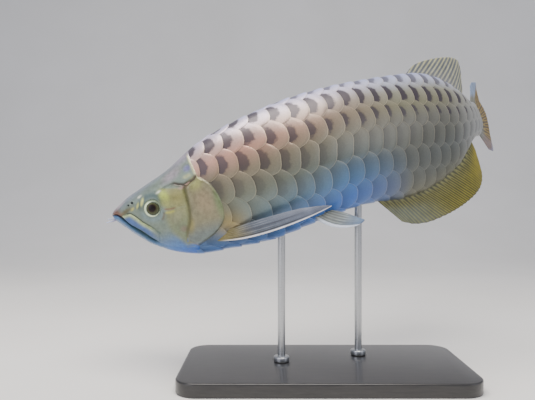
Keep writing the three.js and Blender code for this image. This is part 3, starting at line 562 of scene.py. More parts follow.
def head_colour(s, z):
    """Colour of the head from the side; patches follow the lines between its plates."""
    crown = np.clip((z - (0.42 * s - 12)) / 22, 0, 1)
    cheek = ease(-6, 4, within(cheek_outline, s, z)) * ease(8.5, 6.5, z + 0.25 * (s - 76))
    gill = within(gill_outline, s, z)
    eye = np.hypot(s - EYE_S, z - EYE_Z)
    brow = hollow(eye - 13, 4) * ease(-2, 6, z - EYE_Z) * ease(62, 54, s)
    colour = painted(
        np.tile(linear("#728174"), (len(s), 1)),
        ("#7f8895", ease(0.2, 0.8, crown)),
        ("#9991a1", ease(58, 92, s) * ease(0.1, 0.7, crown)),
        # The lower head turns blue: partly its own silvery blue, partly a painted reflection of blue
        # surroundings
        ("#3f70b0", ease(-28, -54, z)),
        ("#888a5c", cheek),
        ("#6c7a60", 0.85 * cheek * ease(-14, -34, z)),
        ("#817c5e", ease(-2, 1.5, gill)),
        ("#637273", 0.85 * ease(0, 2, gill) * ease(-28, -46, z)),
        # The same partly painted reflection, strongest at the very bottom edge of the throat
        ("#2c62bc", 0.9 * ease(-49, -61, z)),
        ("#3b5251", 0.85 * brow),
        ("#748e96", 0.5 * hollow(eye - 12, 3) * ease(2, -5, z - EYE_Z)),
    )
    for hex_colour, strength, *oval in HEAD_PATCHES:
        colour = painted(colour, (hex_colour, strength * patch(s, z, *oval)))
    for line, hex_colour, strength, wide, first, last in HEAD_LINES:
        distance, along = near(line, s, z)
        shown = ease(first - 0.12, first + 0.04, along) * ease(last + 0.12, last - 0.04, along)
        colour = painted(colour, (hex_colour, strength * hollow(distance, wide) * shown))
    # The upper jaw plate is blue, with a pale band along its top and a dark groove over that
    plate = within(upper_jaw_outline, s, z)
    top, _ = near(UPPER_JAW_TOP, s, z)
    fade = ease(44, 34, s)
    mouth, passed = near(MOUTH, s, z)
    slit = hollow(mouth, 1.0 + 1.5 * hollow(passed - 0.7, 0.2)) ** 0.7
    nape = hollow(s - 95.2 + 0.185 * (z - 26), 1.1) * ease(15, 18, z) * ease(42, 36, z)
    return painted(
        colour,
        ("#40629c", ease(45, 31, s) * ease(-0.4, 0.8, plate)),
        ("#b9c78a", 0.95 * ease(-0.4, 0.6, plate) * hollow(top - 0.6, 2.3) * fade),
        ("#1c1410", 0.95 * hollow(top + 0.3, 1.3) * (s > 16) * ease(0.9, -0.3, plate) * fade),
        ("#466f9c", ease(-0.3, 0.8, within(jaw_outline, s, z))),
        ("#05322d", slit * ease(0.18, 0.3, passed) * ease(1.0, 0.93, passed)),
        ("#522e05", 0.7 * hollow(mouth, 0.8) * ease(12, 6, s)),
        *[("#14161b", ease(r + 0.5, r - 0.3, np.hypot(s - ps, z - pz))) for ps, pz, r in NOSTRILS],
        ("#cac997", 0.95 * nape),
    )


# %% The skin itself
HEAD_RINGS = np.concatenate([np.arange(-2.6, 52, 0.55), np.arange(52, 122, 0.8)])
TRUNK_RINGS = np.arange(124, 511, 6.0)
BODY_END = 512.0
ring_list = np.concatenate([HEAD_RINGS, TRUNK_RINGS, [BODY_END]])
AROUND = 300
HEAD_WIDER = 0.035  # the head plates stand a little outside the trunk's width


def place_skin(u, v):
    """Columns of the grid are rings along the body, rows run once around it from the back."""
    ring = u * (len(ring_list) + 1) - 1
    s = np.interp(ring, np.arange(len(ring_list)), ring_list)
    whole = np.interp(s, RINGS_S, ring_whole)
    share, right = folded(v)
    down = share * whole
    y, z = on_skin(s, np.clip(down, 0, whole))
    y = np.where((down <= 1e-6) | (down >= whole - 1e-6), 0, y)
    normal = skin_normal(s, down)
    height = relief(s, z) * ease(-2.7, 3, s + 0.4 * np.abs(z))
    back = s + normal[:, 0] * height
    out = y * (1 + HEAD_WIDER * ease(122, 90, s)) + normal[:, 1] * height
    up = z + normal[:, 2] * height
    # The first and the last column close the skin in a point
    first, last = ring < -0.5, ring > len(ring_list) - 0.5
    back = np.where(first, ring_list[0] - 0.5, np.where(last, BODY_END + 0.5, back))
    out = np.where(first | last, 0, out)
    up = np.where(first | last, (top_at(s) + bottom_at(s)) / 2, up)
    body, head = body_colour(s, 1 - down / whole), head_colour(s, z)
    tone = body + (head - body) * ease(-0.8, 0.8, within(head_outline, s, z))[:, None]
    return pose(back, np.where(right, -1, 1) * out, up), {"tone": tone}


skin = bent_grid("fish_skin", len(ring_list) + 1, AROUND, place_skin)
print("skin", round(skin.dimensions.x, 3), "m long")

# %% [markdown]
# ## Wet skin over bone
# The head has no scales: thin skin lies tight on bone and shines like brushed pewter, with fine
# pores. A glossy coat gives the wet look. The colour comes from the skin's own attribute, and
# fine noise breaks it up so that it never looks like plain paint. Real pores are finer than a
# millimetre and would not show, so they are drawn coarser.

# %% Skin material
skin_finish, shader, add, place = new_material(
    "wet fish skin, smooth over bone", Roughness=0.36, Coat_Weight=0.35, Coat_Roughness=0.14, Metallic=0.25
)
tone = add("Attribute", attribute_name="tone")
mottle = add("TexNoise", {"Vector": place, "Scale": every(4.167), "Detail": 5.0, "Roughness": 0.62})
pores = add("TexVoronoi", {"Vector": place, "Scale": every(1.429)})
shade = add("MapRange", [mottle, *NOISE, 0.76, 1.18])
dark = add("VectorMath", {0: tone, "Scale": shade}, operation="SCALE")
gloss = add("MapRange", [mottle, *NOISE, 0.28, 0.46])
bump = add("Bump", {"Height": pores, "Strength": 0.25, "Distance": 0.3 * MM})
wire(shader, {"Base Color": dark, "Roughness": gloss, "Normal": bump})
hand_over(
    skin,
    skin_finish,
    "head_skin",
    *["head", "lower_jaw", "maxilla_left", "maxilla_right", "gill_cover_left", "gill_cover_right"],
    *["torso_front", "torso_mid", "torso_rear", "tail_base"],
)

# %% [markdown]
# ## The scales
# Arowana scales are coins of bone two to three centimetres high, laid like roof tiles with the
# free edge to the tail. Every other row is set back by half a scale, so the part that shows is
# a rounded hexagon. One plate is modelled from a grid, extruded into a closed solid, and then
# a copy of it is laid on the body for each scale.

# %% One plate
PLATE_HALF = 0.6275  # half its height, in rows
ACROSS = np.array([-1, -0.92, -0.78, -0.56, -0.29, 0, 0.29, 0.56, 0.78, 0.92, 1])
FORWARD = [1, 0.62, 0.27, 0.055, 0]
select_only()
bpy.ops.mesh.primitive_grid_add(x_subdivisions=len(ACROSS) - 1, y_subdivisions=len(FORWARD) - 1, size=2)
plate = bpy.context.active_object
bpy.ops.object.mode_set(mode="EDIT")
bpy.ops.mesh.select_all(action="SELECT")
bpy.ops.mesh.extrude_region_move(TRANSFORM_OT_translate={"value": (0, 0, -1)})
bpy.ops.mesh.dissolve_faces()
bpy.ops.mesh.select_all(action="SELECT")
bpy.ops.mesh.normals_make_consistent(inside=False)
bpy.ops.object.mode_set(mode="OBJECT")
plate_points = np.array([p.co for p in plate.data.vertices])
plate_faces = [list(p.vertices) for p in plate.data.polygons]
bpy.data.objects.remove(plate)
across = np.interp(plate_points[:, 0], np.linspace(-1, 1, len(ACROSS)), ACROSS) * PLATE_HALF
forward = np.interp(plate_points[:, 1], np.linspace(-1, 1, len(FORWARD)), FORWARD)
under = plate_points[:, 2] < -0.5
print("one plate:", len(plate_points), "points,", len(plate_faces), "faces")

# %% Where each plate goes
edge_at = curve([
    [-4, 51], [-1, 111], [0, 131], [12, 371], [13, 390.5], [14, 409], [15, 427], [16, 444], [17, 460],
    [18, 475], [19, 489], [20, 502], [21, 514], [22, 526],
])
lag_at = curve([[120, 0], [150, -1], [230, -8], [330, -9], [420, -5], [500, -2]])
rise_at = curve([[80, 0.35], [130, 1.1], [300, 1.0], [420, 0.8], [530, 0.45]])
ROWS = range(-5, 4)
FIRST, LAST = -3, 20  # scales of a row, counted to the tail
REACH = 1.12  # how far a plate runs forward under the ones before it, in scale lengths
SHORTEST = 0.28  # a plate cut by a middle line to less than this, in rows, is left out


def lattice(row, column):
    """From a row number and a scale number, both with fractions, to s and the arc down from the back."""
    flat = edge_at(column)
    tall = row_height_at(flat)
    up = row * tall
    s = flat + lag_at(flat) * ease(-8, 20, -up)
    return s, np.interp(s, RINGS_S, ring_zero) - up, np.interp(s, RINGS_S, ring_whole), tall


def free_edge(v):
    """How far the free edge curves forward at v rows from a plate's middle, in scale lengths."""
    return 0.575 * (np.abs(v) / PLATE_HALF) ** 3.2 - 0.075


def uv_patch(row, k):
    """A scale's own patch on an unwrap of the flank: rows up, scales along, walls round its rim."""
    cell = np.array([1 / (LAST - FIRST + 1), 1 / len(ROWS)])
    spread = np.where(under, 0.97, 0.86)[:, None]
    return (np.array([k - FIRST, row - ROWS[0]]) + 0.5 + plate_points[:, [1, 0]] * spread / 2) * cell


def spot_of(row, s, seed):
    """Dark spot of a scale by row and station: its middle forward and up, its size and its strength."""
    ahead, up = 0.84 + 0.08 * (seed[1] - 0.5), 0.12 * (seed[2] - 0.5)
    if row >= 1:
        return [ahead, up, np.interp(s, [120, 440, 500], [0.36, 0.32, 0.22]), 0.92 if row == 1 else 0.65]
    if row == 0:
        up += np.interp(s, [250, 400], [0, 0.22])
        size = np.interp(s, [130, 250, 400], [0.36, 0.24, 0.17])
        return [ahead, up, size, np.interp(s, [130, 220, 450], [0.9, 0.75, 0.85])]
    strengths = {-1: [0.85, 0.6, 0.3, 0.1], -2: [0.3, 0.2, 0.1, 0.0]}.get(row, [0, 0, 0, 0])
    return [ahead, up, 0.33, np.interp(s, [130, 180, 220, 260], strengths)]


# %% The plates of one side
def lay_plates(name, side):
    """All the scales of one side as one mesh, each with its own local coordinates as attributes."""
    rng = np.random.default_rng(7)
    points, faces, uvs = [], [], []
    marks = {"plate": [], "spot": [], "tone": []}
    for row in ROWS:
        for k in range(FIRST, LAST + 1):
            column = k + (0 if row % 2 == 0 else 0.5)
            seed = rng.random(3)
            # The middle lines of back and belly cut a plate short
            _, down, whole, tall = lattice(np.array(row + 0.5), np.array(column - 0.3))
            low, high = max(-PLATE_HALF, (down - whole) / tall), min(PLATE_HALF, down / tall)
            if high - low < SHORTEST:
                continue
            s0, down, whole, _ = lattice(np.array(row + 0.5 + (low + high) / 2), np.array(column))
            _, z0 = on_skin(s0, np.clip(down, 0, whole))
            if within(head_outline, np.array([s0 - 1.5]), np.array([z0]))[0] > 0:
                continue
            v = low + (across + PLATE_HALF) / (2 * PLATE_HALF) * (high - low)
            start = free_edge(v)
            back = start + forward * (REACH - start)
            s, down, whole, _ = lattice(row + 0.5 + v, column - back)
            at_end = np.abs(across) > PLATE_HALF - 1e-6
            upper = at_end & (across > 0) & (high < PLATE_HALF)
            lower = at_end & (across < 0) & (low > -PLATE_HALF)
            down = np.where(upper, 0, np.where(lower, whole, np.clip(down, 0, whole)))
            rise = rise_at(s)
            height = rise * (1 - back) * (1 + 0.12 * (1 - (v / PLATE_HALF) ** 2))
            height = np.where(forward < 0.01, height - 0.22 * rise, height)
            height = np.where(under, height - 0.75 * rise * (1.05 - 0.6 * back), height)
            y, z = on_skin(s, down)
            raised = np.stack([s, y, z]) + skin_normal(s, down).T * height
            raised[1] = np.where(upper | lower, 0, raised[1])
            count = len(points) * len(plate_points)
            points.append(pose(raised[0], side * -raised[1], raised[2]))
            faces.extend([[i + count for i in f[::-side]] for f in plate_faces])
            rim = np.interp(row + 0.3 * (seed[0] - 0.5), [-4, -1, 0, 2], [0.14, 0.28, 0.42, 0.55])
            marks["plate"].append(np.stack([back - start, v, np.full_like(v, rim)], 1))
            marks["spot"].append(np.tile(spot_of(row, s0, seed), (len(v), 1)))
            marks["tone"].append(body_colour(s, 1 - down / whole))
            uvs.append(uv_patch(row, k))
    mesh = bpy.data.meshes.new(name)
    mesh.from_pydata(np.concatenate(points).tolist(), [], faces)
    for mark, values in marks.items():
        keep_mark(mesh, mark, np.concatenate(values))
    corners = np.zeros(len(mesh.loops), int)
    mesh.loops.foreach_get("vertex_index", corners)
    layer = mesh.uv_layers.new(name="OFBake")
    layer.data.foreach_set("uv", np.concatenate(uvs)[corners].astype(np.float32).ravel())
    piece = bpy.data.objects.new(name, mesh)
    bpy.context.scene.collection.objects.link(piece)
    select_only(piece)
    bpy.ops.object.shade_smooth_by_angle(angle=math.radians(50))
    print(name, len(points), "scales")
    return piece


scales = [lay_plates("scales_" + name, side) for name, side in SIDES]

# %% [markdown]
# ## Polished scale
# A scale is bone under a mirror of fine crystals, so it shines like pearl rather than metal. Its
# free edge is a thin pale rim, and the front of the upper scales carries a dark, ragged spot.
# Towards its root each scale is darkened by a painted shadow of the scale before it.
# The material reads each plate's own coordinates, so rim and spot sit alike on every scale.

# %% Scale material
scale_finish, shader, add, place = new_material(
    "fish scale, pearly crystals under clear skin",
    **{"Roughness": 0.36, "Metallic": 0.3, "Coat_Weight": 0.15, "Coat_Roughness": 0.2},
)
tone = add("Attribute", attribute_name="tone")
spot = add("Attribute", attribute_name="spot")
local = add("Attribute", attribute_name="plate")
from_edge, up_rows, rim_strength = add("SeparateXYZ", [local.outputs["Vector"]]).outputs
spot_ahead, spot_up, spot_size = add("SeparateXYZ", [spot.outputs["Vector"]]).outputs
ragged = add("TexNoise", {"Vector": place, "Scale": every(7.692), "Detail": 4.0, "Roughness": 0.6})
grain = add("TexNoise", {"Vector": place, "Scale": every(1.538), "Detail": 3.0})
# Distance from the spot's middle, the spot being taller than long
ahead = add("Math", [from_edge, spot_ahead], operation="SUBTRACT")
lift = add("Math", [up_rows, spot_up], operation="SUBTRACT")
lift = add("Math", [lift, 0.75], operation="MULTIPLY")
far = add("VectorMath", [add("CombineXYZ", [ahead, lift])], operation="LENGTH")
uneven = add("MapRange", [ragged, *NOISE, -0.09, 0.09])
edge = add("Math", [far.outputs["Value"], uneven], operation="ADD")
inside = add("Math", [spot_size, edge], operation="SUBTRACT")
spotted = add("MapRange", [inside, -0.06, 0.08, 0.0, 1.0], interpolation_type="SMOOTHSTEP")
spotted = add("Math", [spotted, spot.outputs["Alpha"]], operation="MULTIPLY")
# Pale rim along the free edge, and painted shadow: the scale darkens towards its root, which lies under the
# scale before it
rim = add("MapRange", [from_edge, 0.02, 0.055, rim_strength, 0.0], interpolation_type="SMOOTHSTEP")
root = add("MapRange", [from_edge, 0.2, 0.95, 1.08, 0.66])
grainy = add("MapRange", [grain, *NOISE, 0.92, 1.07])
strength = add("Math", [root, grainy], operation="MULTIPLY")
body = add("VectorMath", {0: tone, "Scale": strength}, operation="SCALE")
dotted = add("Mix", {0: spotted, 6: body, 7: (*linear("#39313a"), 1)}, data_type="RGBA")
pale = add("Mix", {0: 0.7, 6: tone, 7: (*linear("#e6d6b4"), 1)}, data_type="RGBA")
rimmed = add("Mix", {0: rim, 6: dotted.outputs[2], 7: pale.outputs[2]}, data_type="RGBA")
bump = add("Bump", {"Height": ragged, "Strength": 0.2, "Distance": 0.4 * MM})
wire(shader, {"Base Color": rimmed.outputs[2], "Normal": bump})
for piece in scales:
    hand_over(piece, scale_finish, "scales")

# %% [markdown]
# ## The fins
# A fin is a thin web held by jointed rays that fork towards the rim. Each is a grid folded round
# the blade, so it is closed at the rim, and every ray is a real ridge on both faces. The rays
# lean back from the root line to the rim line, which are the same tables as in the CAD model.

# %% Fin blades
RAY_HEIGHT = 0.34
COLUMNS_A_RAY = 12


def fin_blade(name, rays, rows, thick, tip, shape, paint, forks=0.45):
    """A closed blade: shape holds its middle in the straight fish and its left direction, by u and v."""
    at, side_of = shape

    def place(across, v):
        u, back = folded(across)
        single, double = [0.5 - 0.5 * np.cos(n * np.pi * u * rays) for n in (2, 4)]
        fork = ease(forks, forks + 0.25, v)
        ray = single**2 * (1 - fork) + double**2 * fork * (0.45 + 0.55 * single)
        ends = np.clip((1 - v) / 0.02, 0, 1) ** 0.5 * np.clip(v / 0.01, 0, 1)
        sides = np.clip(np.minimum(u, 1 - u) * rays * 3, 0, 1) ** 0.5
        body = (thick * (1 - v) + tip * v) * 0.5
        half = (body + RAY_HEIGHT * ray * (1 - 0.6 * v)) * ends * sides
        web = 1 - 0.012 * (1 - single) * ease(0.8, 1, v)
        p = at(u, v * web) + side_of(u, v) * (half * np.where(back, -1, 1))[:, None]
        joint = v * np.linalg.norm(at(u, v) - at(u, 0 * v), axis=1)
        return pose(*p.T), {"tone": paint(u, v, ease(0.12, 0.6, ray)), "joint": joint}

    return bent_grid(name, rays * COLUMNS_A_RAY * 2, rows, place)


def plane_fin(root, rim, sink):
    """The middle of a fin that stands in the fish's middle plane, from its root and rim tables."""
    lines = [[curve(np.array(table)[:, [0, c]]) for c in (1, 2)] for table in (root, rim)]

    def at(u, v):
        a, b = [np.stack([back(u), np.zeros_like(u), up(u)], -1) for back, up in lines]
        start = -sink / np.linalg.norm(b - a, axis=-1)
        return a + (b - a) * (start + (1 - start) * v)[:, None]

    return at, lambda u, v: np.tile([0.0, -1.0, 0.0], (len(u), 1))


def paired_fin(lead, trail, side):
    """The middle of a fin at the side of the belly, between a leading and a trailing edge."""

    def at(u, v):
        k = 1 - v
        weights = np.stack([k**3, 3 * k * k * v, 3 * k * v * v, v**3], 1)
        p = weights @ np.array(lead) * (1 - u)[:, None] + weights @ np.array(trail) * u[:, None]
        p[:, 0] += 6 * np.sin(np.pi * u) * v * v
        p[:, 1] -= 2.5 * np.sin(np.pi * u) * v
        p[:, 1] *= -side
        return p

    def side_of(u, v):
        e = 0.02  # of the fin to each side
        a = at(np.clip(u + e, 0, 1), v) - at(np.clip(u - e, 0, 1), v)
        b = at(u, np.clip(v + e, 0, 1)) - at(u, np.clip(v - e, 0, 1))
        n = np.cross(a, b)
        n /= np.linalg.norm(n, axis=-1, keepdims=True)
        return n * np.where(n[:, 1:2] * side < 0, -1, 1)

    return at, side_of


# %% Shapes of the fins, in mm: plane ones by the share from front to rear, s and z
dorsal_shape = plane_fin(
    [
        [0, 378, 75.8], [0.11, 391, 74.7], [0.29, 410, 70.6], [0.45, 426, 64.6], [0.6, 440, 57.6],
        [0.76, 455, 48.6], [1, 477, 36.4],
    ],
    [
        [0, 386, 81.5], [0.05, 398, 86.5], [0.15, 417, 89.3], [0.29, 440, 90.3], [0.45, 465, 90.5],
        [0.6, 489, 89], [0.7, 502, 84.5], [0.8, 502, 75.5], [0.89, 493, 62], [1, 485, 46],
    ],
    sink=9,
)
anal_shape = plane_fin(
    [
        [0, 288, -60.6], [0.094, 309, -63.6], [0.17, 325, -65.4], [0.27, 343, -65.4], [0.404, 366, -63.4],
        [0.52, 386, -59.2], [0.61, 401, -54.8], [0.708, 418, -49], [0.795, 433, -42.6], [0.86, 444, -36],
        [0.912, 453, -29.8], [0.953, 460, -25.4], [1, 468, -21.6],
    ],
    [
        [0, 315, -92.5], [0.094, 335, -100.3], [0.17, 357, -102.8], [0.27, 382, -101.5], [0.404, 408, -98],
        [0.52, 428, -93.5], [0.61, 445, -88.5], [0.708, 461, -81.5], [0.795, 472, -72.5],
        [0.86, 476, -63.5], [0.912, 476, -54], [0.953, 475, -45], [1, 473.5, -33],
    ],
    sink=8,
)
caudal_shape = plane_fin(
    [[0, 507, 29], [0.25, 512, 17], [0.5, 513, 5.5], [0.75, 512, -6], [1, 507, -17]],
    [
        [0, 532, 53], [0.06, 556, 59], [0.13, 584, 59.5], [0.24, 573, 46], [0.36, 572, 33], [0.47, 592, 20],
        [0.57, 600, 9], [0.68, 597, -5], [0.78, 588, -19], [0.88, 584, -34], [0.94, 577, -44],
        [1, 545, -40],
    ],
    sink=5,
)
# The leading and the trailing edge of a paired fin, as the control points of a curve in s, y and z
PECTORAL = (
    [[96, -13, -54.5], [128, -36, -63.5], [168, -45, -61], [212, -44.5, -50.5]],
    [[105, -15, -47], [124, -29, -46], [152, -37, -43], [184, -41, -44.5]],
)
PELVIC = (
    [[202, -10, -56], [207, -20, -72], [222, -26, -79], [240, -28, -78.5]],
    [[222, -11, -55], [231, -18, -60], [239, -23, -65.5], [244, -26, -72]],
)
# The right one is held closer to the belly
PELVIC_FOLDED = (
    [[206, -10, -56], [214, -20, -67], [231, -26, -73], [249, -28, -73.5]],
    [[226, -11, -55], [236, -18, -59], [245, -23, -63.5], [252, -26, -68]],
)


# %% Colours of the fins
def fin_paint(web, rays, *washes):
    """Web and ray colours as stops from root to rim; each wash is a colour and a mask of u and v."""

    def paint(u, v, ray):
        colour = blend(web, v)
        colour += (blend(rays, v) - colour) * ray[:, None]
        return painted(colour, *[(hex_colour, mask(u, v)) for hex_colour, mask in washes])

    return paint


pale_paint = fin_paint(
    [(0, "#868589"), (0.3, "#6f7172"), (0.6, "#5d6267"), (1, "#686c6f")],
    [(0, "#939094"), (0.3, "#a5a48d"), (1, "#aeab83")],
)
olive_paint = fin_paint(
    [(0, "#50533f"), (0.3, "#43411f"), (0.6, "#3a370c"), (1, "#4a4410")],
    [(0, "#757860"), (0.3, "#7a7638"), (0.6, "#807a1e"), (1, "#888018")],
    ("#6b7672", lambda u, v: 0.5 * ease(0.42, 0.1, u) * ease(0.25, 0.6, v)),
    ("#94860c", lambda u, v: 0.6 * ease(0.6, 0.92, u) * ease(0.3, 0.7, v)),
)
golden_paint = fin_paint(
    [(0, "#6f716c"), (0.35, "#68685e"), (0.55, "#443006"), (1, "#493407")],
    [(0, "#787a74"), (0.35, "#7c7a67"), (0.55, "#978031"), (1, "#a18323")],
    ("#859aba", lambda u, v: 0.9 * ease(0.2, 0.12, u) * ease(0.3, 0.55, v)),
    ("#816e71", lambda u, v: 0.75 * ease(0.82, 0.9, u) * ease(0.2, 0.5, v)),
    ("#8390b6", lambda u, v: 0.7 * hollow(u - 0.93, 0.06) * ease(0.8, 1, v)),
)
pectoral_paint = fin_paint(
    [(0, "#7c6f36"), (0.25, "#766c44"), (0.45, "#4d5560"), (1, "#525c70")],
    [(0, "#81763f"), (0.25, "#7e7552"), (0.45, "#666c74"), (1, "#7d8396")],
    ("#f0edee", lambda u, v: ease(0.13, 0.08, u) * ease(0.05, 0.25, v)),
    ("#20242c", lambda u, v: 0.9 * hollow(u - 0.2, 0.035) * ease(0.1, 0.3, v) * ease(0.95, 0.7, v)),
    ("#2c303c", lambda u, v: 0.8 * hollow(u - 0.52, 0.05) * ease(0.25, 0.4, v) * ease(0.9, 0.7, v)),
)
pelvic_paint = fin_paint(
    [(0, "#62665a"), (0.5, "#5f686c"), (1, "#4d678c")],
    [(0, "#7e8074"), (0.5, "#86908f"), (1, "#8299b4")],
    ("#dfe8f6", lambda u, v: ease(0.2, 0.12, u) * ease(0.05, 0.25, v)),
)

# %% The fins themselves
dorsal = fin_blade("dorsal_fin_blade", 16, 26, 1.2, 0.45, dorsal_shape, pale_paint, 0.9)
anal = fin_blade("anal_fin_blade", 24, 26, 1.2, 0.45, anal_shape, olive_paint, 0.1)
caudal = fin_blade("caudal_fin_blade", 14, 30, 1.4, 0.45, caudal_shape, golden_paint)
blades = [(dorsal, "fin_", "dorsal_fin"), (anal, "anal_", "anal_fin"), (caudal, "caudal_", "caudal_fin")]
for (name, side), pelvic in zip(SIDES, (PELVIC, PELVIC_FOLDED)):
    shape = paired_fin(*PECTORAL, side)
    blade = fin_blade("pectoral_blade_" + name, 7, 40, 1.7, 0.5, shape, pectoral_paint)
    blades.append((blade, "fin_", "pectoral_fin_" + name))
    shape = paired_fin(*pelvic, side)
    blade = fin_blade("pelvic_blade_" + name, 6, 26, 1.4, 0.5, shape, pelvic_paint)
    blades.append((blade, "fin_", "pelvic_fin_" + name))

# %% Fin material: the web dries to a satin sheet, and each ray keeps its joints
fin_finish, shader, add, place = new_material(
    "fin web, dried and lacquered", Roughness=0.5, Coat_Weight=0.12, Coat_Roughness=0.25
)
cloud = add("TexNoise", {"Vector": place, "Scale": every(8.333), "Detail": 4.0})
cloudy = add("MapRange", [cloud, *NOISE, 0.82, 1.14])
tone = add("Attribute", attribute_name="tone")
worn = add("VectorMath", {0: tone, "Scale": cloudy}, operation="SCALE")
# A ray has a joint every two millimetres, counted along it in millimetres
along = add("Attribute", attribute_name="joint").outputs["Fac"]
turned = add("Math", [along, math.pi], operation="MULTIPLY")
joints = add("Math", [turned], operation="SINE")
bump = add("Bump", {"Height": joints, "Strength": 0.15, "Distance": 0.2 * MM})
wire(shader, {"Base Color": worn, "Normal": bump})
for blade, slot, node in blades:
    hand_over(blade, fin_finish, slot + "membrane", node)

# %% [markdown]
# ## The eyes
# The eye of an arowana is large and set in a shallow cup. A museum model has a glass eye: a
# silver-white ring outside, a dark olive iris and a pupil that is almost black. A ball is bent
# flat from a grid, and rings of colour follow the distance from its middle.


# %% Eyes
def place_eye(side):
    """A flattened ball whose poles point out of and into the head."""
    ring = np.searchsorted(RINGS_S, EYE_S)
    down = np.interp(-EYE_Z, -ring_points[ring, 1], np.linspace(0, ring_whole[ring], ARC_STEPS + 1))
    surface, _ = on_skin(np.array([EYE_S]), np.array([down]))
    middle = abs(surface[0]) * (1 + HEAD_WIDER) + EYE_PROUD - EYE_DEPTH

    def place(u, v):
        around, tilt = 2 * np.pi * u, np.pi * v
        out = np.sin(tilt) * EYE_RADIUS
        y = middle + EYE_DEPTH * np.cos(tilt)
        points = pose(EYE_S + out * np.cos(around), side * y, EYE_Z + out * np.sin(around))
        # The pale ring is widest at its upper front, and the hidden half has none
        upper_front = (np.sin(around) - np.cos(around)) * 0.7
        return points, {"ring": out + 0.9 * (upper_front - 0.2) * ease(4.5, 7, out) + 20 * (v > 0.5)}

    return place


eyes = [bent_grid("eye_ball_" + name, 64, 40, place_eye(side)) for name, side in SIDES]

# %% Eye material
EYE_RINGS = [  # share of 12 mm from the middle, and colour
    (0.0, "#080202"),
    (0.25, "#140403"),
    (0.29, "#220c06"),
    (0.34, "#34331c"),
    (0.46, "#4c5034"),
    (0.52, "#20231c"),
    (0.565, "#8a9c84"),
    (0.60, "#e4f2cc"),
    (0.78, "#d6e8bc"),
    (1.0, "#8c9c90"),
]
eye_finish, shader, add, place = new_material(
    "eye, painted behind polished glass",
    **{"Roughness": 0.4, "Coat_Weight": 0.12, "Coat_Roughness": 0.04, "Specular_IOR_Level": 0.25},
)
ring = add("Attribute", attribute_name="ring").outputs["Fac"]
streaks = add("TexNoise", {"Vector": place, "Scale": every(1.111), "Detail": 2.0})
radius = add("Math", [ring, add("MapRange", [streaks, *NOISE, -0.25, 0.25])], operation="ADD")
share = add("Math", [radius, 12.0], operation="DIVIDE")
wire(shader, {"Base Color": add("ValToRGB", [share], EYE_RINGS)})
for (name, _), eye in zip(SIDES, eyes):
    hand_over(eye, eye_finish, "eye", "eye_" + name)

# %% [markdown]
# ## The barbels
# Two short feelers stand out from the tip of the chin. Each is a slim cone with a slight bend, a
# grid rolled round a curved line and closed at both ends.

# %% Barbels
BARBEL_LINE = np.array([[3.4, 2.6, -6.6], [2.5, 2.6, -6.5], [-3, 3.4, -5.2], [-10.5, 4.2, -3.6]])
BARBEL_SHARES = [0, 0.07, 0.44, 1]


def place_barbel(side):
    """A tapering round rod along the barbel's line; the left one hangs a little lower."""
    line = BARBEL_LINE * [1, side, 1]
    line[1:, 2] += np.arange(3) * (-1.6 if side < 0 else 0.3)

    def place(u, v):
        s, y, z = [curve(np.stack([BARBEL_SHARES, part], 1))(v) for part in line.T]
        radius = (1.15 - 0.75 * v) * np.clip((1 - v) / 0.06, 0, 1) ** 0.5 * np.clip(v / 0.02, 0, 1)
        a = 2 * np.pi * u
        return pose(s, y + radius * np.cos(a), z + radius * np.sin(a)), {"along": v}

    return place


barbels = [bent_grid("barbel_rod_" + name, 16, 36, place_barbel(side)) for name, side in SIDES]

# %% Barbel material: satin skin, brown at the root and pale at the tip
barbel_finish, shader, add, place = new_material(
    "soft skin, lacquered, barbel", Roughness=0.4, Coat_Weight=0.3
)
along = add("Attribute", attribute_name="along").outputs["Fac"]
flecks = add("TexNoise", {"Vector": place, "Scale": every(1.429), "Detail": 3.0})
shift = add("Math", [along, add("Math", [flecks, 0.3], operation="MULTIPLY")], operation="ADD")
shades = add("ValToRGB", [shift], [(0.1, "#8a6a58"), (0.4, "#9a93ad"), (1.0, "#bcc4e2")])
wire(shader, {"Base Color": shades})
for (name, _), barbel in zip(SIDES, barbels):
    hand_over(barbel, barbel_finish, "barbel", "barbel_" + name)

# %% [markdown]
# ## The stand
# The model stands on a plain black lacquered board with rounded corners. Two steel rods run up
# into the belly, each with a small collar where it enters the board.


# %% Board
def rounded(piece, width, segments, sharpest):
    """Rounds the active piece's edges that turn by more than so many degrees."""
    edges = piece.modifiers.new("rounded edges", "BEVEL")
    edges.width = width
    edges.segments = segments
    edges.limit_method = "ANGLE"
    edges.angle_limit = math.radians(sharpest)
    bpy.ops.object.modifier_apply(modifier=edges.name)


board_low, board_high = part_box("stand_base")
CORNER = 22 * MM
select_only()
bpy.ops.mesh.primitive_cube_add(size=1, location=(board_low + board_high) / 2)
board = bpy.context.active_object
board.name = "display_board"
board.scale = board_high - board_low
bpy.ops.object.transform_apply(location=True, rotation=True, scale=True)
bpy.ops.object.mode_set(mode="EDIT")
bpy.ops.mesh.select_mode(type="EDGE")
bpy.ops.mesh.select_all(action="DESELECT")
bpy.ops.object.mode_set(mode="OBJECT")
for line in board.data.edges:
    start, end = [board.data.vertices[i].co for i in line.vertices]
    line.select = abs(start.z - end.z) > 5 * MM
bpy.ops.object.mode_set(mode="EDIT")
bpy.ops.mesh.bevel(offset=CORNER, segments=12, affect="EDGES")
bpy.ops.object.mode_set(mode="OBJECT")
rounded(board, 1.6 * MM, 4, 60)
bpy.ops.object.shade_smooth_by_angle(angle=math.radians(35))
print("board", [round(d, 3) for d in board.dimensions])

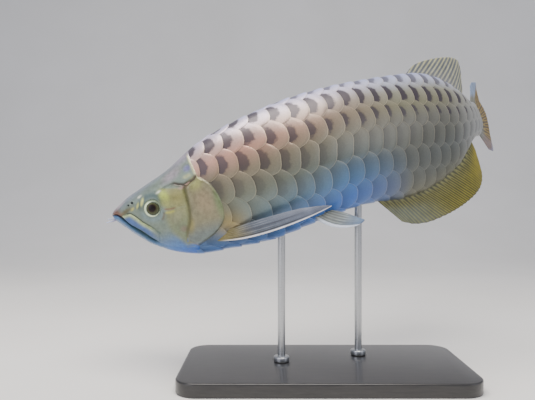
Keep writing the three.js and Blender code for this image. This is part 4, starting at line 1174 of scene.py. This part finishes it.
# %% Rods and collars
COLLAR_HEIGHT = 6 * MM
COLLAR_RISE = 3.1 * MM  # of its middle over the board
COLLAR_WIDER = 2.1  # than the rod
ROUND = 48  # sides of a round piece
rods = []
for name in ("front", "rear"):
    low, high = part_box("stand_rod_" + name)
    middle = (low + high) / 2
    radius = (high.x - low.x) / 2
    select_only()
    bpy.ops.mesh.primitive_cylinder_add(vertices=ROUND, radius=radius, depth=high.z - low.z, location=middle)
    rod = bpy.context.active_object
    rod.name = "display_rod_" + name
    # A collar: a second cylinder whose edges are rounded, joined to the rod
    bpy.ops.mesh.primitive_cylinder_add(
        vertices=ROUND,
        radius=radius * COLLAR_WIDER,
        depth=COLLAR_HEIGHT,
        location=(middle.x, middle.y, board_high.z + COLLAR_RISE),
    )
    collar = bpy.context.active_object
    rounded(collar, 1.2 * MM, 3, 30)
    select_only(rod, collar)
    bpy.ops.object.join()
    bpy.ops.object.transform_apply(location=True, rotation=True, scale=True)
    bpy.ops.object.shade_smooth_by_angle(angle=math.radians(40))
    rods.append(rod)

# %% Board material: a satin coat over black, in which the grain of the wood just shows
board_finish, shader, add, place = new_material(
    "wood board, black satin lacquer", Roughness=0.34, Coat_Weight=0.4
)
stretch = add("Mapping", {"Vector": place, "Scale": (1, 9, 9)})
grain = add("TexNoise", {"Vector": stretch, "Scale": every(16.667), "Detail": 6.0})
shades = add("ValToRGB", [grain], [(0.3, "#1d1c1d"), (0.7, "#2c2a29")])
bump = add("Bump", {"Height": grain, "Strength": 0.1, "Distance": 0.2 * MM})
wire(shader, {"Base Color": shades, "Normal": bump})
hand_over(board, board_finish, "stand_black", "stand_base")

# %% Steel: turning leaves fine rings that spread the light along the rod
steel_finish, shader, add, place = new_material(
    "stainless steel, turned and brushed", Metallic=1.0, Roughness=0.28
)
stretch = add("Mapping", {"Vector": place, "Scale": (1, 1, 30)})
turning = add("TexNoise", {"Vector": stretch, "Scale": every(8.333), "Detail": 3.0})
shades = add("ValToRGB", [turning], [(0.3, "#b3b5b7"), (0.7, "#bfc1c3")])
rough = add("MapRange", [turning, *NOISE, 0.26, 0.34])
wire(shader, {"Base Color": shades, "Roughness": rough})
for name, rod in zip(("front", "rear"), rods):
    hand_over(rod, steel_finish, "rod_steel", "stand_rod_" + name)

# %% [markdown]
# ## Floor, light and camera
# A pale floor runs up behind the model in a soft curve. One large lamp hangs over the fish, as
# over a tank, so that the back is bright and the belly falls into soft shade. The camera is
# level, just in front of the middle of the fish, at the photograph's distance.

# %% Floor with a curved rise
FLOOR_WIDE, FLOOR_FLAT, FLOOR_BEND, FLOOR_WALL = 8.0, 3.0, 1.2, 3.0


def place_floor(u, v):
    """Flat in front, then a quarter circle, then a wall; all far larger than the model."""
    quarter = FLOOR_BEND * math.pi / 2
    run = v * (FLOOR_FLAT + quarter + FLOOR_WALL)
    a = np.clip((run - FLOOR_FLAT) / FLOOR_BEND, 0, math.pi / 2)
    y = np.minimum(run, FLOOR_FLAT) + FLOOR_BEND * np.sin(a) - 2
    z = FLOOR_BEND * (1 - np.cos(a)) + np.maximum(run - FLOOR_FLAT - quarter, 0)
    return np.stack([(u - 0.5) * FLOOR_WIDE, y, z], 1), {}


floor = bent_grid("floor", 2, 60, place_floor)
floor_finish, shader, add, place = new_material("paper, matt, pale grey", Roughness=0.9)
cloud = add("TexNoise", {"Vector": place, "Scale": every(333.333), "Detail": 2.0})
wire(shader, {"Base Color": add("ValToRGB", [cloud], [(0.3, "#efede9"), (0.7, "#f5f3f0")])})
floor.data.materials.append(floor_finish)
floor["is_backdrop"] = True

# %% Lights
LAMPS = [  # name, place, aim, size in m, power in W, colour
    ("lamp over the fish", (-0.15, -0.25, 1.25), (0, 0.05, 0.2), (1.3, 0.6), 24, "#fff8ee"),
    ("soft fill from the left", (-1.3, -1.3, 0.7), (0, 0, 0.2), (1.2, 1.2), 10, "#f4f4ff"),
    ("soft fill from the right", (1.5, -0.9, 0.8), (0, 0, 0.2), (1.0, 1.0), 5, "#f4f6ff"),
]
for name, at, aim, size, power, colour in LAMPS:
    data = bpy.data.lights.new(name, "AREA")
    data.shape = "RECTANGLE"
    data.size, data.size_y = size
    data.energy = power
    data.color = linear(colour)
    lamp = bpy.data.objects.new(name, data)
    lamp.location = at
    lamp.rotation_euler = (Vector(aim) - Vector(at)).to_track_quat("-Z", "Y").to_euler()
    bpy.context.scene.collection.objects.link(lamp)
world = bpy.data.worlds.new("studio")
world.use_nodes = True
wire(world.node_tree.nodes["Background"], {"Color": (*linear("#d4daea"), 1), "Strength": 0.62})
bpy.context.scene.world = world

# %% Camera
PHOTO_WIDTH = 535
FOCAL_PIXELS = 580
SENSOR = 36
camera_data = bpy.data.cameras.new("camera")
camera_data.sensor_width = SENSOR
camera_data.lens = SENSOR * FOCAL_PIXELS / PHOTO_WIDTH
camera = bpy.data.objects.new("camera", camera_data)
camera.location = (-0.060, -0.620, 0.187)
camera.rotation_euler = (math.pi / 2, 0, 0)
bpy.context.scene.collection.objects.link(camera)
bpy.context.scene.camera = camera

# %% Sizes of everything shown
low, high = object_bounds()
print("visual box from", tuple(round(c, 3) for c in low), "to", tuple(round(c, 3) for c in high))
